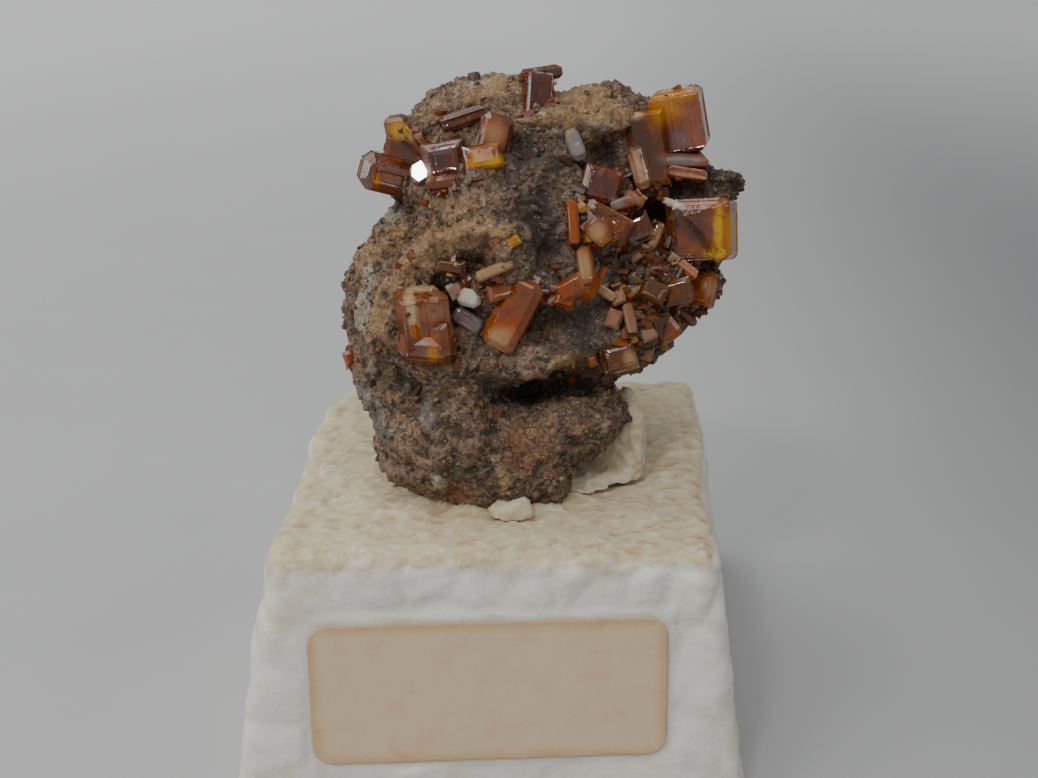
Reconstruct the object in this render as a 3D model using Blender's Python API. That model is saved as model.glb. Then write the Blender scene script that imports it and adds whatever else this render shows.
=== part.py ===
"""Wulfenite crystals on a lump of matrix, its foot glued into a block of polystyrene foam.

The frame is in metres with +Z up. The origin is the middle of the block's underside, and the
label's face looks along -Y. Sizes are written in millimetres, the meshes are made in
millimetres, and the last step scales them to metres.
"""

import math
from collections import namedtuple

import bmesh
import bpy
from mathutils import Matrix, Vector, noise
from mathutils.bvhtree import BVHTree

MM = 0.001

# Driving dimensions of the foam block, in millimetres
BLOCK_HEIGHT = 16.5
BLOCK_TOP_FRONT_LEFT = (-13.5, -13.2)
BLOCK_TOP_FRONT_RIGHT = (11.7, -12.2)
BLOCK_TOP_BACK_RIGHT = (13.5, 13.2)
BLOCK_TOP_BACK_LEFT = (-11.5, 11.7)
BLOCK_TOP_CHIPPED_CORNER = (-13.1, 7.8)
BLOCK_BASE_SPREAD = 1.22
BLOCK_EDGE_ROUND = 1.1
BLOCK_EDGE_STEPS = 3
FOOT_SUNK = 1.5

# Driving dimensions of the label, in millimetres
LABEL_SIZE = (20.3, 8.5)
LABEL_THICK = 0.15
LABEL_CORNER = 1.1
LABEL_CORNER_STEPS = 4
LABEL_BELOW_TOP = 8.0
LABEL_SIDEWAYS = -0.25
LABEL_SLANT = math.radians(0.4)

# Air between two pieces that touch
TOUCH_GAP = 0.1

# The rock's mesh: the voxels that blend its lumps, and how many triangles are kept
BALL_SUBDIVISIONS = 3
BLEND_VOXEL = 0.55
DETAIL_VOXEL = 0.42
BLEND_SMOOTHING = 8
ROCK_TRIANGLES = 3200

# The rock's weathering: how many lumps, ridges and pits there are to a millimetre, how high they
# stand, and the roughness, fineness and number of the layers of noise
LUMPS_PER_MM, LUMP_HEIGHT = 0.28, 0.6
RIDGES_PER_MM, RIDGE_HEIGHT, RIDGE_MEAN = 0.33, 0.34, 1.1
PITS_PER_MM, PIT_DEPTH = 0.9, 0.16
NOISE_LAYERS = (0.9, 2.1, 3)
RIDGE_SHARPNESS = (1.0, 2.0)

# Two places this close count as level with each other
LEVEL = 1e-4

# The lumps and crystals are placed as they are seen from an eye in front of and above the block:
# millimetres across and up on a picture plane at SIGHT_DISTANCE, then millimetres nearer to
# the eye than that plane.
EYE = Vector((0.6, -73.7, 53.5))
SIGHT_PITCH = math.radians(23.7)
SIGHT_DISTANCE = 78.0
RIGHT = Vector((1.0, 0.0, 0.0))
FORWARD = Vector((0.0, math.cos(SIGHT_PITCH), -math.sin(SIGHT_PITCH)))
UP = Vector((0.0, math.sin(SIGHT_PITCH), math.cos(SIGHT_PITCH)))
SIGHT_AXES = Matrix((RIGHT, UP, -FORWARD)).transposed()

# A rounded mass of the rock: its middle as seen, its half sizes across, up and towards the eye,
# and its turn in the picture plane in degrees
Lump = namedtuple("Lump", "across up near half_across half_up half_near turn")

ROCK_MASSES = {
    "core": Lump(0.6, 9.6, -1.5, 8.8, 8.7, 8.2, 0),
    "left shoulder": Lump(-3.2, 14.4, -1.5, 4.6, 4.2, 5.5, 30),
    "right shoulder": Lump(5.2, 13.6, -2.0, 4.8, 4.7, 5.8, 0),
    "left flank": Lump(-6.5, 5.6, -0.5, 4.1, 5.6, 6.0, -12),
    "lower right flank": Lump(7.6, 6.4, -1.5, 4.4, 3.8, 5.8, 32),
    "lower right underside": Lump(6.9, 4.7, -1.2, 5.8, 3.1, 5.4, 42),
    "front dome": Lump(-0.6, 9.4, 4.0, 4.4, 4.8, 4.0, 0),
    "top ridge": Lump(-1.9, 17.4, -0.5, 4.0, 1.7, 3.4, 10),
    "top right ridge": Lump(4.9, 17.0, -0.5, 4.0, 1.6, 3.4, -4),
    "top ledge": Lump(2.6, 16.1, 3.6, 4.6, 0.8, 3.2, 2),
    "right prong": Lump(11.4, 12.8, 0.6, 3.5, 1.3, 2.1, -14),
    "prong root": Lump(8.6, 12.4, 0.0, 2.6, 2.0, 3.0, 0),
    "right knob": Lump(11.1, 6.6, -0.3, 1.7, 2.0, 2.6, 0),
    "front sill": Lump(-3.4, 2.1, 3.0, 6.3, 1.8, 3.6, -4),
    "right sill": Lump(2.2, 1.9, 4.6, 2.3, 0.7, 1.9, 22),
    "left crust": Lump(-8.3, 4.6, 3.0, 1.4, 4.8, 2.2, -8),
    "left blade ridge": Lump(-8.4, 3.9, 4.9, 0.6, 3.2, 1.3, -18),
    "arch ridge": Lump(-3.9, 8.8, 6.1, 3.2, 0.6, 1.4, 19),
    "arch ridge left end": Lump(-7.0, 7.0, 4.6, 1.5, 0.6, 1.6, 50),
    "upper left crust": Lump(-7.0, 9.9, 3.0, 3.0, 1.5, 2.8, 38),
}

FOOT_MASSES = {
    "foot left": Lump(-4.3, -2.6, 1.0, 4.4, 3.9, 4.6, -20),
    "foot shoulder": Lump(-7.6, 0.2, 0.4, 3.1, 2.2, 4.0, -40),
    "foot right": Lump(2.2, -3.0, 0.8, 4.6, 2.5, 3.6, 24),
    "foot fin": Lump(4.4, -1.9, 0.6, 2.9, 1.2, 2.6, 22),
    "foot sole": Lump(-0.8, -5.4, 0.2, 4.6, 2.6, 4.0, 0),
    "foot back": Lump(-0.2, -2.2, -6.0, 6.4, 4.0, 6.0, 0),
    "neck": Lump(-1.6, 1.2, -5.0, 6.4, 4.6, 5.6, 0),
}

ROCK_HOLLOWS = {
    "crevice over the foot": Lump(2.6, 0.2, 4.6, 5.0, 0.95, 4.8, 5),
    "crevice mouth": Lump(6.4, -0.1, 1.6, 1.6, 0.5, 4.4, 20),
    "seat of the big left crystal": Lump(-5.7, 3.7, 7.6, 2.5, 2.7, 2.2, 0),
    "dark hollow under the ledge at its right": Lump(5.3, 14.4, 6.4, 2.3, 1.2, 2.9, 4),
    "dark hollow under the ledge at its left": Lump(0.6, 14.9, 7.0, 2.7, 0.8, 2.2, 0),
    "hollow under the arch ridge": Lump(-3.6, 7.3, 7.4, 2.4, 0.8, 1.9, 14),
    "groove beside the dome": Lump(2.7, 6.7, 7.0, 1.0, 2.6, 1.6, 10),
    "hollow under the left crystals": Lump(-7.6, 10.9, 3.0, 2.0, 0.8, 3.4, 20),
    "dark dish": Lump(3.6, 3.9, 7.2, 2.3, 1.6, 1.6, 20),
    "broken back": Lump(2.0, 10.0, -24.0, 26.0, 24.0, 15.4, 0),
    "step in the broken back": Lump(-6.0, 14.0, -14.5, 7.0, 8.0, 7.0, 0),
    "hollow under the prong": Lump(10.4, 11.0, 3.0, 2.6, 0.9, 2.4, -8),
    "dark hollow at the right": Lump(8.6, 7.8, 5.6, 1.8, 0.8, 1.8, -10),
}

# One crystal, a box with its rims cut back. Its middle is given as seen. near is None where the
# crystal stands on the rock's face: then lift is how far its middle stands off that face. The size
# is across, up and towards the eye before turning, plate_axis is the number of the axis through
# its square faces, rim and corner are the cuts, and turn, nod and yaw are in degrees about the
# sight line, the axis across and the axis up.
Crystal = namedtuple("Crystal", "across up near lift size plate_axis rim corner turn nod yaw")

ACROSS, UPWARD, NEAR = 0, 1, 2


def crystal(across, up, size, plate_axis=NEAR, near=None, lift=0.1, rim=0.2, corner=0.0,
            turn=0.0, nod=0.0, yaw=0.0):
    return Crystal(across, up, near, lift, size, plate_axis, rim, corner, turn, nod, yaw)


# Each node is one crystal, or several that have grown into each other
CRYSTAL_NODES = {
    "wulfenite_upper_right_cluster": [
        crystal(9.8, 16.4, (3.0, 3.7, 3.0), UPWARD, near=1.6, rim=0.35, turn=12, nod=16, yaw=-16),
        crystal(7.6, 14.6, (2.3, 4.4, 2.4), NEAR, near=2.6, rim=0.3, turn=8, nod=8, yaw=10),
        crystal(7.3, 13.4, (2.5, 0.95, 2.0), UPWARD, near=4.4, rim=0.2, corner=0.3, turn=104,
                yaw=4),
        crystal(10.0, 14.1, (2.6, 0.6, 2.2), UPWARD, near=2.2, rim=0.14, turn=-3, nod=26, yaw=8),
        crystal(10.3, 13.2, (2.3, 0.7, 2.0), UPWARD, near=2.5, rim=0.18, turn=-8, nod=14, yaw=-8),
    ],
    "wulfenite_right_block": [
        crystal(11.2, 9.7, (3.7, 3.6, 3.5), NEAR, near=2.4, rim=0.4, corner=0.3,
                turn=2, nod=6, yaw=-20),
        crystal(9.3, 11.3, (1.2, 0.5, 1.2), UPWARD, near=2.6, rim=0.12, turn=-20, nod=8),
    ],
    "wulfenite_left_cluster": [
        crystal(-7.9, 13.1, (3.6, 2.2, 1.9), NEAR, near=2.2, rim=0.5, corner=0.5,
                turn=-16, nod=14, yaw=18),
        crystal(-7.1, 14.4, (2.2, 1.9, 1.7), NEAR, near=1.6, rim=0.25, turn=-8, nod=6, yaw=8),
        crystal(-7.4, 15.8, (1.2, 1.7, 1.1), UPWARD, near=2.2, rim=0.2, turn=12, nod=24, yaw=-14),
        crystal(-6.2, 14.9, (2.8, 0.5, 1.6), UPWARD, near=2.6, rim=0.12, turn=-54, nod=8, yaw=14),
        crystal(-5.5, 14.7, (2.6, 0.45, 1.5), UPWARD, near=3.0, rim=0.1, turn=-50, nod=4, yaw=8),
        crystal(-4.4, 13.9, (2.5, 2.3, 2.2), NEAR, near=4.2, rim=0.4, turn=10, nod=12, yaw=-10),
        crystal(-6.0, 13.2, (1.2, 1.2, 1.0), NEAR, near=3.9, rim=0.22, corner=0.25,
                turn=20, nod=18, yaw=6),
        crystal(-4.0, 12.6, (3.2, 0.9, 1.8), UPWARD, near=5.2, rim=0.25, turn=6, nod=10, yaw=6),
        crystal(-1.5, 15.5, (1.8, 2.4, 1.3), NEAR, near=5.5, rim=0.3, corner=0.3,
                turn=-14, nod=10, yaw=12),
        crystal(-2.2, 13.9, (2.2, 1.7, 1.6), NEAR, near=6.1, rim=0.35, turn=12, nod=-6, yaw=10),
    ],
    "wulfenite_maroon_plate": [
        crystal(-3.5, 16.5, (2.7, 0.9, 1.8), UPWARD, lift=0.35, rim=0.2, turn=18, nod=14, yaw=8),
    ],
    "wulfenite_top_flake": [
        crystal(1.1, 17.7, (1.7, 3.0, 1.2), ACROSS, near=3.0, rim=0.2, turn=-4, nod=6, yaw=24),
        crystal(1.3, 19.2, (2.5, 0.8, 1.0), UPWARD, near=2.9, rim=0.2, turn=9, nod=10, yaw=6),
    ],
    "wulfenite_lower_left_cluster": [
        crystal(-5.9, 4.3, (2.6, 3.3, 2.6), UPWARD, near=6.3, rim=0.35, turn=5, nod=20, yaw=16),
        crystal(-5.6, 2.5, (2.9, 1.5, 2.4), NEAR, near=6.2, rim=0.5, corner=0.3,
                turn=-6, nod=-16, yaw=-6),
        crystal(-4.7, 3.0, (1.2, 1.8, 1.4), NEAR, near=6.8, rim=0.3, turn=8, nod=4, yaw=-26),
    ],
    "wulfenite_centre_pair": [
        crystal(-0.35, 4.6, (4.3, 2.1, 2.0), NEAR, near=5.6, rim=0.4, corner=0.4,
                turn=62, nod=-4, yaw=-6),
        crystal(-1.1, 6.0, (1.6, 1.0, 1.2), NEAR, near=6.4, rim=0.24, turn=14, nod=6, yaw=10),
    ],
    "wulfenite_maroon_block_group": [
        crystal(4.9, 12.5, (2.2, 2.0, 1.8), NEAR, near=5.4, rim=0.28, turn=-14, nod=8, yaw=14),
        crystal(6.2, 11.3, (1.3, 0.75, 1.4), UPWARD, near=5.3, rim=0.16, turn=18, nod=12),
        crystal(7.0, 11.6, (1.2, 0.8, 1.4), UPWARD, near=5.0, rim=0.16, turn=-26, nod=10),
        crystal(5.5, 10.0, (2.6, 1.7, 1.6), NEAR, near=5.6, rim=0.3, turn=-30, nod=6, yaw=-12),
        crystal(4.8, 9.6, (1.6, 1.2, 1.5), NEAR, near=6.1, rim=0.22, corner=0.2, turn=-48, yaw=6),
    ],
    "wulfenite_blade_under_ledge": [
        crystal(3.4, 14.8, (1.9, 0.8, 1.8), UPWARD, near=5.4, rim=0.2, corner=0.3, turn=111,
                nod=4),
    ],
    "wulfenite_brown_right_pair": [
        crystal(7.1, 9.8, (1.9, 1.7, 1.6), NEAR, lift=0.2, rim=0.3, turn=24, nod=10, yaw=-8),
        crystal(8.2, 9.3, (1.8, 0.65, 1.6), UPWARD, lift=0.3, rim=0.15, corner=0.2, turn=64,
                nod=5),
    ],
    "wulfenite_long_blade_group": [
        crystal(4.0, 7.5, (2.1, 0.8, 1.6), UPWARD, lift=0.5, rim=0.18, corner=0.25, turn=98,
                nod=6),
        crystal(3.2, 6.2, (1.9, 1.2, 1.4), NEAR, lift=0.3, rim=0.25, turn=30, nod=6, yaw=-8),
        crystal(2.7, 5.5, (1.2, 0.8, 1.2), NEAR, lift=0.3, rim=0.2, turn=-18, nod=10, yaw=14),
    ],
    "wulfenite_orange_streak": [
        crystal(3.2, 10.1, (2.4, 0.6, 1.5), UPWARD, lift=0.15, rim=0.12, turn=94, nod=8),
    ],
    "wulfenite_lower_pair": [
        crystal(5.3, 5.9, (1.2, 0.55, 1.2), UPWARD, lift=0.25, rim=0.12, turn=-35, nod=8),
        crystal(6.0, 5.6, (0.8, 0.8, 1.0), NEAR, lift=0.3, rim=0.16, turn=20, nod=8),
    ],
    "wulfenite_white_facet_pair": [
        crystal(-3.0, 5.6, (1.3, 1.0, 1.4), NEAR, lift=0.3, rim=0.2, corner=0.25, turn=-12,
                nod=10),
        crystal(-3.9, 6.0, (0.9, 0.9, 1.2), NEAR, lift=0.3, rim=0.18, turn=30, yaw=8),
    ],
    "wulfenite_lilac_plate": [
        crystal(-3.1, 4.2, (1.9, 1.0, 1.1), NEAR, lift=0.25, rim=0.18, corner=0.25,
                turn=-34, nod=10),
    ],
    "wulfenite_upper_blade": [
        crystal(-1.5, 7.2, (2.2, 0.6, 1.3), UPWARD, lift=0.3, rim=0.14, corner=0.16, turn=23),
    ],
    "wulfenite_brown_left": [
        crystal(-4.2, 7.5, (1.7, 0.9, 1.2), NEAR, lift=0.2, rim=0.22, turn=-8, nod=10),
    ],
    "wulfenite_knob_orange": [
        crystal(11.2, 6.1, (1.5, 2.0, 1.6), NEAR, lift=0.1, rim=0.3, turn=-12, nod=4, yaw=-24),
    ],
    "wulfenite_knob_blade": [
        crystal(10.1, 4.5, (1.7, 0.5, 1.2), UPWARD, lift=0.2, rim=0.12, turn=-40, nod=6),
    ],
    "wulfenite_underside_pair": [
        crystal(6.1, 1.9, (2.0, 1.6, 1.5), NEAR, lift=0.1, rim=0.3, turn=14, nod=-6, yaw=-6),
        crystal(6.7, 1.8, (1.3, 0.7, 1.3), UPWARD, lift=0.45, rim=0.16, corner=0.2, turn=112),
    ],
    "wulfenite_pink_pair": [
        crystal(6.7, 4.3, (1.7, 0.55, 1.2), UPWARD, lift=0.25, rim=0.13, turn=102, nod=4),
        crystal(5.8, 4.3, (0.9, 1.1, 1.0), NEAR, lift=0.3, rim=0.2, turn=-20, nod=8),
    ],
    "wulfenite_small_pink": [
        crystal(7.9, 3.4, (0.95, 0.8, 0.9), NEAR, lift=0.2, rim=0.16, turn=24, nod=6),
    ],
    "wulfenite_small_tan": [
        crystal(7.8, 2.2, (0.7, 0.9, 0.9), NEAR, lift=0.2, rim=0.16, turn=-16, nod=4),
    ],
    "wulfenite_amber_right": [
        crystal(9.0, 3.6, (1.5, 1.4, 1.3), NEAR, lift=0.15, rim=0.26, turn=38, nod=6, yaw=-10),
    ],
    "wulfenite_brown_lower_pair": [
        crystal(8.2, 6.0, (1.6, 1.2, 1.2), NEAR, lift=0.15, rim=0.24, turn=-24, nod=8),
        crystal(9.7, 6.0, (1.7, 1.4, 1.3), NEAR, lift=0.15, rim=0.26, turn=14, nod=6, yaw=-12),
    ],
    "wulfenite_crevice_crystal": [
        crystal(4.5, 1.7, (0.7, 0.7, 0.8), NEAR, lift=0.2, rim=0.15, turn=20),
    ],
    "wulfenite_left_edge": [
        crystal(-10.2, 1.9, (1.0, 0.9, 1.0), NEAR, near=0.6, rim=0.2, turn=20, yaw=12),
    ],
    "wulfenite_dome_chip": [
        crystal(-0.3, 9.0, (0.7, 0.6, 0.8), NEAR, lift=0.15, rim=0.14, turn=30),
    ],
}

# The glue is a row of beads that climbs from the block along the foot's side. Each one's top is
# given as seen: across, up, near, half width.
GLUE_RIM_BEADS = [
    (6.4, 0.2, -0.4, 0.5),
    (7.0, -0.3, -0.2, 0.5),
    (7.2, -1.1, -0.4, 0.6),
    (7.1, -2.0, -0.8, 0.75),
    (6.8, -2.9, -1.3, 0.9),
    (6.4, -3.8, -1.6, 1.0),
    (5.8, -4.6, -1.4, 0.95),
    (4.9, -5.1, -0.6, 0.9),
    (4.0, -5.6, 0.2, 0.7),
]
GLUE_FRONT_BEADS = [
    (-1.1, -6.5, 3.2, 0.75),
    (0.1, -6.35, 3.15, 0.7),
]
GLUE_VOXEL = 0.3
GLUE_SMOOTHING = 3
GLUE_ROOT = 0.5
GLUE_TALLEST = 3.0
GLUE_SPREAD = 1.7
GLUE_TRIANGLES = 200

WULFENITE = ("wulfenite", (0.52, 0.16, 0.02), 0.12)
MATRIX = ("matrix", (0.16, 0.1, 0.065), 0.85)
FOAM = ("foam", (0.82, 0.78, 0.68), 0.7)
PAPER = ("paper", (0.74, 0.6, 0.44), 0.85)
GLUE = ("glue", (0.8, 0.76, 0.66), 0.4)


def clear_scene():
    for obj in list(bpy.data.objects):
        bpy.data.objects.remove(obj)


def seen(across, up, near):
    """The place, in millimetres, of a point given as it is seen from the eye."""
    ray = FORWARD + RIGHT * (across / SIGHT_DISTANCE) + UP * (up / SIGHT_DISTANCE)
    return EYE + ray * (SIGHT_DISTANCE - near)


def object_of(name, mesh):
    obj = bpy.data.objects.new(name, mesh)
    bpy.context.scene.collection.objects.link(obj)
    return obj


def mesh_of(name, bm):
    mesh = bpy.data.meshes.new(name)
    bm.to_mesh(mesh)
    bm.free()
    return mesh


def baked(obj):
    """The mesh that an object's modifiers make. The object is removed."""
    bpy.context.view_layer.update()
    graph = bpy.context.evaluated_depsgraph_get()
    mesh = bpy.data.meshes.new_from_object(obj.evaluated_get(graph))
    bpy.data.objects.remove(obj)
    return mesh


def joined(mesh, other, operation):
    """The mesh with the other one cut from it or united with it."""
    obj = object_of("work", mesh)
    tool = object_of("tool", other)
    cut = obj.modifiers.new("cut", "BOOLEAN")
    cut.operation = operation
    cut.object = tool
    result = baked(obj)
    bpy.data.objects.remove(tool)
    return result


def largest_body(mesh):
    """The mesh without the loose crumbs that a cut has left."""
    bm = bmesh.new()
    bm.from_mesh(mesh)
    waiting = set(bm.verts)
    bodies = []
    while waiting:
        found = [waiting.pop()]
        body = set(found)
        while found:
            for edge in found.pop().link_edges:
                for vert in edge.verts:
                    if vert in waiting:
                        waiting.remove(vert)
                        body.add(vert)
                        found.append(vert)
        bodies.append(body)
    bodies.sort(key=len)
    crumbs = [vert for body in bodies[:-1] for vert in body]
    bmesh.ops.delete(bm, geom=crumbs, context="VERTS")
    return mesh_of(mesh.name, bm)


def inflated(mesh, by):
    """A copy of the mesh with each point moved out along its normal."""
    copy = mesh.copy()
    outward = [vert.normal.copy() for vert in copy.vertices]
    for vert, normal in zip(copy.vertices, outward):
        vert.co += normal * by
    return copy


def ellipsoids(name, placings):
    bm = bmesh.new()
    for placing in placings:
        bmesh.ops.create_icosphere(
            bm, subdivisions=BALL_SUBDIVISIONS, radius=1.0, matrix=placing)
    return mesh_of(name, bm)


def lump_placing(lump):
    turn = Matrix.Rotation(math.radians(lump.turn), 3, "Z")
    half = Matrix.Diagonal((lump.half_across, lump.half_up, lump.half_near))
    axes = (SIGHT_AXES @ turn @ half).to_4x4()
    return Matrix.Translation(seen(lump.across, lump.up, lump.near)) @ axes


def blended(mesh, voxel, smoothing):
    obj = object_of("work", mesh)
    blend = obj.modifiers.new("blend", "REMESH")
    blend.mode = "VOXEL"
    blend.voxel_size = voxel
    if smoothing:
        smooth = obj.modifiers.new("smooth", "SMOOTH")
        smooth.factor = 0.5
        smooth.iterations = smoothing
    return baked(obj)


def thinned(mesh, triangles):
    mesh.calc_loop_triangles()
    obj = object_of("work", mesh)
    thin = obj.modifiers.new("thin", "DECIMATE")
    thin.ratio = min(1.0, triangles / len(mesh.loop_triangles))
    thin.use_collapse_triangulate = True
    return baked(obj)


def weather(mesh):
    """Moves the rock's points along their normals into lumps, ridges and pits."""
    normals = [vert.normal.copy() for vert in mesh.vertices]
    for vert, normal in zip(mesh.vertices, normals):
        place = vert.co
        lumps = noise.fractal(place * LUMPS_PER_MM, *NOISE_LAYERS)
        ridges = noise.ridged_multi_fractal(
            place * RIDGES_PER_MM, *NOISE_LAYERS, *RIDGE_SHARPNESS) - RIDGE_MEAN
        pits = noise.cell(place * PITS_PER_MM) - 0.5
        moved = LUMP_HEIGHT * lumps + RIDGE_HEIGHT * ridges + PIT_DEPTH * pits
        vert.co = place + normal * moved


def cut_level(mesh, height):
    """The mesh with all below the height cut off, and the cut closed."""
    bm = bmesh.new()
    bm.from_mesh(mesh)
    cut = bmesh.ops.bisect_plane(
        bm, geom=bm.verts[:] + bm.edges[:] + bm.faces[:], dist=LEVEL / 10,
        plane_co=(0, 0, height), plane_no=(0, 0, 1), clear_inner=True)
    rim = [item for item in cut["geom_cut"] if isinstance(item, bmesh.types.BMEdge)]
    bmesh.ops.triangle_fill(bm, edges=rim, use_dissolve=False, use_beauty=True)
    bmesh.ops.recalc_face_normals(bm, faces=bm.faces[:])
    return mesh_of(mesh.name, bm)


def rock_before_crystals():
    masses = {**ROCK_MASSES, **FOOT_MASSES}
    form = ellipsoids("rock", [lump_placing(lump) for lump in masses.values()])
    form = blended(form, BLEND_VOXEL, BLEND_SMOOTHING)
    for hollow in ROCK_HOLLOWS.values():
        form = joined(form, ellipsoids("hollow", [lump_placing(hollow)]), "DIFFERENCE")
    form = blended(form, DETAIL_VOXEL, 1)
    weather(form)
    form = blended(form, DETAIL_VOXEL, 0)
    form = thinned(form, ROCK_TRIANGLES)
    return largest_body(cut_level(form, BLOCK_HEIGHT - FOOT_SUNK))


def tree_of(mesh):
    points = [vert.co for vert in mesh.vertices]
    return BVHTree.FromPolygons(points, [face.vertices for face in mesh.polygons])


def crystal_mesh(spec, rock_tree, grow):
    """One crystal as a closed mesh, grow millimetres larger on each side."""
    bm = bmesh.new()
    bmesh.ops.create_cube(bm, size=1.0)
    size = [side + 2 * grow for side in spec.size]
    bmesh.ops.scale(bm, vec=size, verts=bm.verts)
    if spec.corner:
        uprights = [edge for edge in bm.edges if runs_along(edge, spec.plate_axis)]
        bmesh.ops.bevel(bm, geom=uprights, offset=spec.corner, segments=1, affect="EDGES")
    level = size[spec.plate_axis] / 2
    rims = [edge for edge in bm.edges if on_plate(edge, spec.plate_axis, level)]
    bmesh.ops.bevel(bm, geom=rims, offset=spec.rim, segments=1, affect="EDGES")
    mesh = mesh_of("crystal", bm)
    mesh.transform(crystal_placing(spec, rock_tree))
    return mesh


def runs_along(edge, axis):
    a, b = edge.verts
    return abs(a.co[axis] - b.co[axis]) > LEVEL


def on_plate(edge, axis, level):
    a, b = edge.verts
    return abs(a.co[axis] - b.co[axis]) < LEVEL and abs(abs(a.co[axis]) - level) < LEVEL


def crystal_placing(spec, rock_tree):
    near = spec.near
    if near is None:
        sight = seen(spec.across, spec.up, 0.0) - EYE
        hit = rock_tree.ray_cast(EYE, sight.normalized())[0]
        if hit is None:
            raise ValueError(f"no rock behind the crystal at {spec.across}, {spec.up}")
        near = SIGHT_DISTANCE - (hit - EYE).dot(FORWARD) + spec.lift
    turn = (Matrix.Rotation(math.radians(spec.turn), 3, "Z")
            @ Matrix.Rotation(math.radians(spec.nod), 3, "X")
            @ Matrix.Rotation(math.radians(spec.yaw), 3, "Y"))
    axes = (SIGHT_AXES @ turn).to_4x4()
    return Matrix.Translation(seen(spec.across, spec.up, near)) @ axes


def crystal_group(specs, rock_tree, grow):
    """The crystals of one node, grown into one body."""
    whole = crystal_mesh(specs[0], rock_tree, grow)
    for spec in specs[1:]:
        whole = joined(whole, crystal_mesh(spec, rock_tree, grow), "UNION")
    return whole


def block_before_seat():
    """The foam block, wider at its base than at its top."""
    outline = [BLOCK_TOP_FRONT_LEFT, BLOCK_TOP_FRONT_RIGHT, BLOCK_TOP_BACK_RIGHT,
               BLOCK_TOP_BACK_LEFT, BLOCK_TOP_CHIPPED_CORNER]
    bm = bmesh.new()
    top = [bm.verts.new((x, y, BLOCK_HEIGHT)) for x, y in outline]
    base = [bm.verts.new(base_corner(corner)) for corner in outline]
    bm.faces.new(reversed(base))
    bm.faces.new(top)
    for here in range(len(outline)):
        after = (here + 1) % len(outline)
        bm.faces.new((base[here], base[after], top[after], top[here]))
    sides_and_top = [edge for edge in bm.edges if any(vert in top for vert in edge.verts)]
    bmesh.ops.bevel(bm, geom=sides_and_top, offset=BLOCK_EDGE_ROUND, segments=BLOCK_EDGE_STEPS,
                    profile=0.5, affect="EDGES")
    bmesh.ops.triangulate(bm, faces=bm.faces)
    return mesh_of("foam_block", bm)


def base_corner(top_corner):
    return Vector((*top_corner, 0.0)) * BLOCK_BASE_SPREAD


def front_face_axes():
    """The front face's directions to its right, up it and out of it, and its top edge's middle."""
    base_left = base_corner(BLOCK_TOP_FRONT_LEFT)
    base_right = base_corner(BLOCK_TOP_FRONT_RIGHT)
    top_left = Vector((*BLOCK_TOP_FRONT_LEFT, BLOCK_HEIGHT))
    top_right = Vector((*BLOCK_TOP_FRONT_RIGHT, BLOCK_HEIGHT))
    along = (top_right - top_left).normalized()
    out = along.cross((top_left + top_right - base_left - base_right).normalized()).normalized()
    return along, out.cross(along), out, (top_left + top_right) / 2


def label_mesh():
    along, up, out, top_middle = front_face_axes()
    width, height = LABEL_SIZE
    bm = bmesh.new()
    bmesh.ops.create_cube(bm, size=1.0)
    bmesh.ops.scale(bm, vec=(width, height, LABEL_THICK), verts=bm.verts)
    uprights = [edge for edge in bm.edges if runs_along(edge, NEAR)]
    bmesh.ops.bevel(bm, geom=uprights, offset=LABEL_CORNER, segments=LABEL_CORNER_STEPS,
                    profile=0.5, affect="EDGES")
    bmesh.ops.triangulate(bm, faces=bm.faces)
    mesh = mesh_of("paper_label", bm)
    axes = Matrix((along, up, out)).transposed() @ Matrix.Rotation(LABEL_SLANT, 3, "Z")
    middle = (top_middle + along * LABEL_SIDEWAYS - up * LABEL_BELOW_TOP
              + out * (TOUCH_GAP + LABEL_THICK / 2))
    mesh.transform(Matrix.Translation(middle) @ axes.to_4x4())
    return mesh


def glue_mesh(beads, rock_swollen, block_swollen):
    placings = []
    for bead, after in zip(beads, beads[1:] + beads[-1:]):
        for between in (0.0, 0.5):
            across, up, near, half_width = Vector(bead).lerp(Vector(after), between)
            top = seen(across, up, near)
            half_height = min((top.z - BLOCK_HEIGHT) / 2 + GLUE_ROOT, GLUE_TALLEST / 2)
            middle = Vector((top.x, top.y, top.z - half_height))
            sides = Matrix.Diagonal((half_width, half_width * GLUE_SPREAD, half_height, 1.0))
            placings.append(Matrix.Translation(middle) @ sides)
    mesh = blended(ellipsoids("glue", placings), GLUE_VOXEL, GLUE_SMOOTHING)
    mesh = thinned(mesh, GLUE_TRIANGLES)
    mesh = joined(mesh, rock_swollen.copy(), "DIFFERENCE")
    mesh = joined(mesh, block_swollen.copy(), "DIFFERENCE")
    return largest_body(mesh)


def painted(obj, finish):
    """Gives the object its finish: a name, a colour and a roughness."""
    name, colour, roughness = finish
    material = bpy.data.materials.get(name) or bpy.data.materials.new(name)
    material.use_nodes = True
    surface = material.node_tree.nodes["Principled BSDF"]
    surface.inputs["Base Color"].default_value = (*colour, 1.0)
    surface.inputs["Roughness"].default_value = roughness
    surface.inputs["Metallic"].default_value = 0.0
    obj.data.materials.clear()
    obj.data.materials.append(material)


def add_part(name, mesh, finish):
    mesh.transform(Matrix.Scale(MM, 4))
    painted(object_of(name, mesh), finish)


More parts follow.
